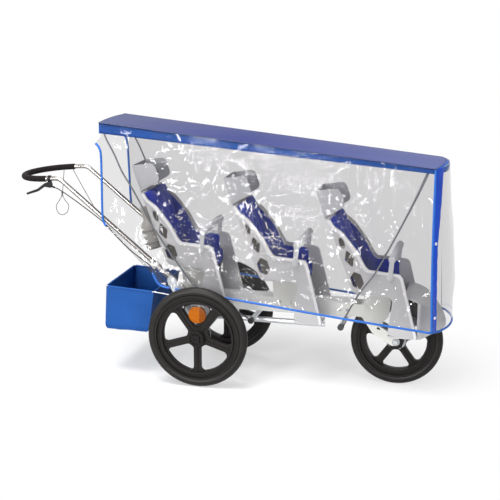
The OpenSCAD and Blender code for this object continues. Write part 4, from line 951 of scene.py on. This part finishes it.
for sign in (-1, 1):
    edge = []
    for i in range(2, len(rear_run)):
        here = rear_run[i]
        run = (rear_run[min(i + 1, len(rear_run) - 1)] - rear_run[i - 1]).normalized()
        side = sign * (side_at(here.x, here.z) - 0.75)
        edge.append(spot(here.x - binding_off * run.z, side, here.z + binding_off * run.x))
    bindings.append(cord_line("binding", edge, binding_radius))
binding = pressed(joined(bindings))
binding.name = "cover_binding"
binding.data.materials.append(binding_vinyl.material)
binding.data.materials.append(front_vinyl.material)
for face in binding.data.polygons:
    along_x = face.center.x * 1000 + origin_ahead
    beside_tube = -480 < along_x < -243 and 0.52 < face.center.z < 0.785 and face.center.y < 0
    face.material_index = 1 if beside_tube else 0
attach(binding, "frame")
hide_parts("cover_piping")
zip_cloth = coated_cloth("blue_zip_cloth", "#2456d6", "#1d44b8", 0.36)
zip_patch = zip_cloth.node("MapRange", None, {
    "Value": zip_cloth.cloud(7.0, 2.0), "From Min": 0.42, "From Max": 0.6})
zip_cloth.relief(zip_patch * zip_cloth.cloud(50.0, 2.0), 0.8, 0.004)


# A place by the right front corner, so far round it and so far out from the panel, and which way is out.
def corner_spot(u, reach, out):
    z, edge, bow, half = front_row(u)
    pace = math.hypot(front_round * bow, half)
    w = -1 + reach / pace
    x = edge + bow * (1 - abs(w) ** front_round)
    outwards = Vector((half, -front_round * bow, 0)) / pace
    sunk = 7 * math.sin(math.pi * min(1, 0.8 * u))
    place = spot(x - 0.8 - sunk, w * half, z + 12 * (1 - w * w) * (1 - u))
    return place + outwards * out / 1000, outwards


def flap_place(u, w):
    drop = front_height * u
    ragged = 3 * ripple(0, 0, drop, 34, 23) * min(1, 6 * u)
    reach = 2 + (25 + 36 * max(0, 1 - 2.1 * u) + ragged) * (w + 1) / 2
    lift = 6.5 + 0.8 * ripple(reach * 0.4, 0, drop, 40, 21) + 0.5 * (1 - w * w)
    return corner_spot(u, reach, lift)[0]


flap = laid_grid("zip_flap", 90, 8, flap_place, Vector((1, -1, 0)))
thickened(flap, 0.001)
flap.data.materials.append(zip_cloth.material)
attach(flap, "frame")
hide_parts("zip_strip")
flap_edge_run = [corner_spot(i / 30, -1, 1)[0] for i in range(31)]
flap_edge = pressed(cord_line("zip_flap_binding", flap_edge_run, 0.0058))
flap_edge.data.materials.append(binding_vinyl.material)
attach(flap_edge, "frame")
stud_finish = moulded("white_stud", "#e6e8ec", 0.3)
stud_radius = 0.0075
stud_step = 0.0056
for number, share in ((1, 3.6 / 8), (2, 7.3 / 8)):
    centre, outwards = corner_spot(share, 13, 8.2)
    across = Vector((-outwards.y, outwards.x, 0))
    bpy.ops.object.select_all(action="DESELECT")
    bpy.ops.mesh.primitive_uv_sphere_add(segments=24, ring_count=12, radius=stud_radius)
    stud = bpy.context.object
    stud.name = "press_stud_" + str(number)
    for point in stud.data.vertices:
        flat = point.co.copy()
        rim = 1 if flat.xy.length > stud_step else 0.7
        point.co = centre + across * flat.x + outwards * flat.z * 0.32 * rim + Vector((0, 0, flat.y))
    bpy.ops.object.shade_smooth()
    stud.data.materials.append(stud_finish.material)
    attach(stud, "frame")


# Bottle: a pale grey flask in a ring holder of a darker grey behind the rear seat's back.
# Flask and holder are moulded plastic; the holder's arms reach the shell.
flask_plastic = moulded("grey_flask_plastic", "#aaa7a1", 0.36)
holder_plastic = moulded("grey_holder_plastic", "#8c8984", 0.42)
dress(flask_plastic, "bottle")
dress(holder_plastic, "bottle_holder")


# Handle: a bent aluminium tube that slides in two sleeves on the side plates, held by pale collars. Its hand
# loop is covered by a black foam grip, and the brake lever is clamped ahead of the grip on the right.
tube_metal = Finish("handle_aluminium", {"Metallic": 1.0})
tube_drift = tube_metal.cloud(9.0, 3.0)
tube_metal.wear({"Base Color": tube_metal.mixed(tube_drift, paint("#8d8985"), paint("#9d9995")),
                 "Roughness": 0.19 + 0.06 * tube_drift})
sleeve_metal = brushed("sleeve_aluminium", "#a9a8a6", "x", 0.3)
foam = Finish("black_foam", {"Roughness": 0.9, "Specular IOR Level": 0.15})
foam_drift = foam.cloud(30.0, 3.0)
foam.wear({"Base Color": foam.mixed(foam_drift, paint("#100b0c"), paint("#1d1617")),
           "Roughness": 0.78 + 0.18 * foam_drift})
foam.relief(foam.cells(620.0) + 0.6 * foam_drift, 0.5, 0.001)
dress(tube_metal, "handle_tube")
dress(sleeve_metal, "handle_sleeves")
dress(moulded("pale_collar_plastic", "#dcdcda", 0.4), "sleeve_collars")
lever_plastic = moulded("lever_plastic", "#151214", 0.4)
lever_plastic.wear({"Specular IOR Level": 0.2})
dress(lever_plastic, "brake_clamp", "brake_lever")
dress(foam, "foam_grip")


# Studio: a white floor that glows for camera, glossy and transmission rays, about half near the stroller so
# a soft shadow shows there and fully further out, which is painted light, a white surround, and large soft
# lamps, at whose level a colour shows about as it is written. The glint lamps add no plain light and only
# show in glossy faces.
bpy.ops.object.select_all(action="DESELECT")
bpy.ops.mesh.primitive_plane_add(size=60, location=(0, 0, -0.001))
floor = bpy.context.object
floor.name = "studio_floor"
floor_finish = Finish("studio_floor", {"Base Color": (0.92, 0.92, 0.92, 1), "Roughness": 1.0,
                                       "Specular IOR Level": 0.0})
rays = floor_finish.tree.nodes.new("ShaderNodeLightPath")
seen = Level(floor_finish, rays.outputs["Is Camera Ray"])
for kind in ("Is Glossy Ray", "Is Transmission Ray"):
    seen = seen + Level(floor_finish, rays.outputs[kind])
seen = floor_finish.node("Math", {"operation": "MINIMUM"}, {0: seen, 1: 1.0})
# The floor's glow share rises from 0.46 near a spot under the stroller to 1 from 1.75 m out: painted light
# that whitens the floor away from the stroller and lets its real shadow show only near it.
reach = floor_finish.node("VectorMath", {"operation": "DISTANCE"}, {
    0: floor_finish.place, 1: (-0.1, 0, 0)}, "Value")
white = floor_finish.eased(reach, 0.55, 1.75, 0.46, 1.0)
glow = floor_finish.node("Emission", None, {"Color": (1, 1, 1, 1), "Strength": 1.0})
floor_finish.layered(seen * white, floor_finish.body, glow)
floor.data.materials.append(floor_finish.material)
floor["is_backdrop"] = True

surround = bpy.data.worlds.new("studio_surround")
scene.world = surround
surround.use_nodes = True
sky = surround.node_tree
back = sky.nodes["Background"]
back.inputs["Color"].default_value = (1, 1, 1, 1)
path = sky.nodes.new("ShaderNodeLightPath")
shown = path.outputs["Is Camera Ray"]
for kind in ("Is Transmission Ray", "Is Glossy Ray"):
    either = sky.nodes.new("ShaderNodeMath")
    either.operation = "MAXIMUM"
    sky.links.new(shown, either.inputs[0])
    sky.links.new(path.outputs[kind], either.inputs[1])
    shown = either.outputs[0]
level = sky.nodes.new("ShaderNodeMapRange")
level.inputs["To Min"].default_value = 0.34
level.inputs["To Max"].default_value = 1.0
sky.links.new(shown, level.inputs["Value"])
sky.links.new(level.outputs[0], back.inputs["Strength"])

lamp_aim = Vector((0.1, 0, 0.6))
for name, place, size, power in (
        ("key_lamp", (-2.0, -5.4, 1.9), 1.2, 100.0),
        ("high_lamp", (-1.2, -3.8, 4.4), 1.2, 50.0),
        ("fill_lamp", (3.6, -3.4, 2.6), 1.0, 35.0),
        ("top_lamp", (-0.6, -1.3, 4.3), 2.0, 195.0),
        ("rear_lamp", (-2.0, 3.2, 3.8), 1.4, 25.0),
        ("rear_low_glint", (-1.79, -5.2, 0.2), 0.3, 12.0),
        ("middle_low_glint", (-0.95, -5.2, 0.2), 0.3, 12.0),
        ("front_low_glint", (-0.21, -5.2, 0.25), 0.3, 12.0),
        ("front_glint", (-0.9, -5.1, 1.75), 0.5, 36.0),
        ("high_glint", (-0.5, -5.8, 2.9), 0.9, 110.0),
        ("rear_glint", (-3.5, -4.3, 2.3), 0.9, 110.0)):
    lamp_data = bpy.data.lights.new(name, "AREA")
    lamp_data.size = size
    lamp_data.energy = power
    lamp = bpy.data.objects.new(name, lamp_data)
    scene.collection.objects.link(lamp)
    lamp.location = place
    lamp.rotation_euler = (lamp_aim - lamp.location).to_track_quat("-Z", "Y").to_euler()
    lamp.visible_diffuse = "glint" not in name

low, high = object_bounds()
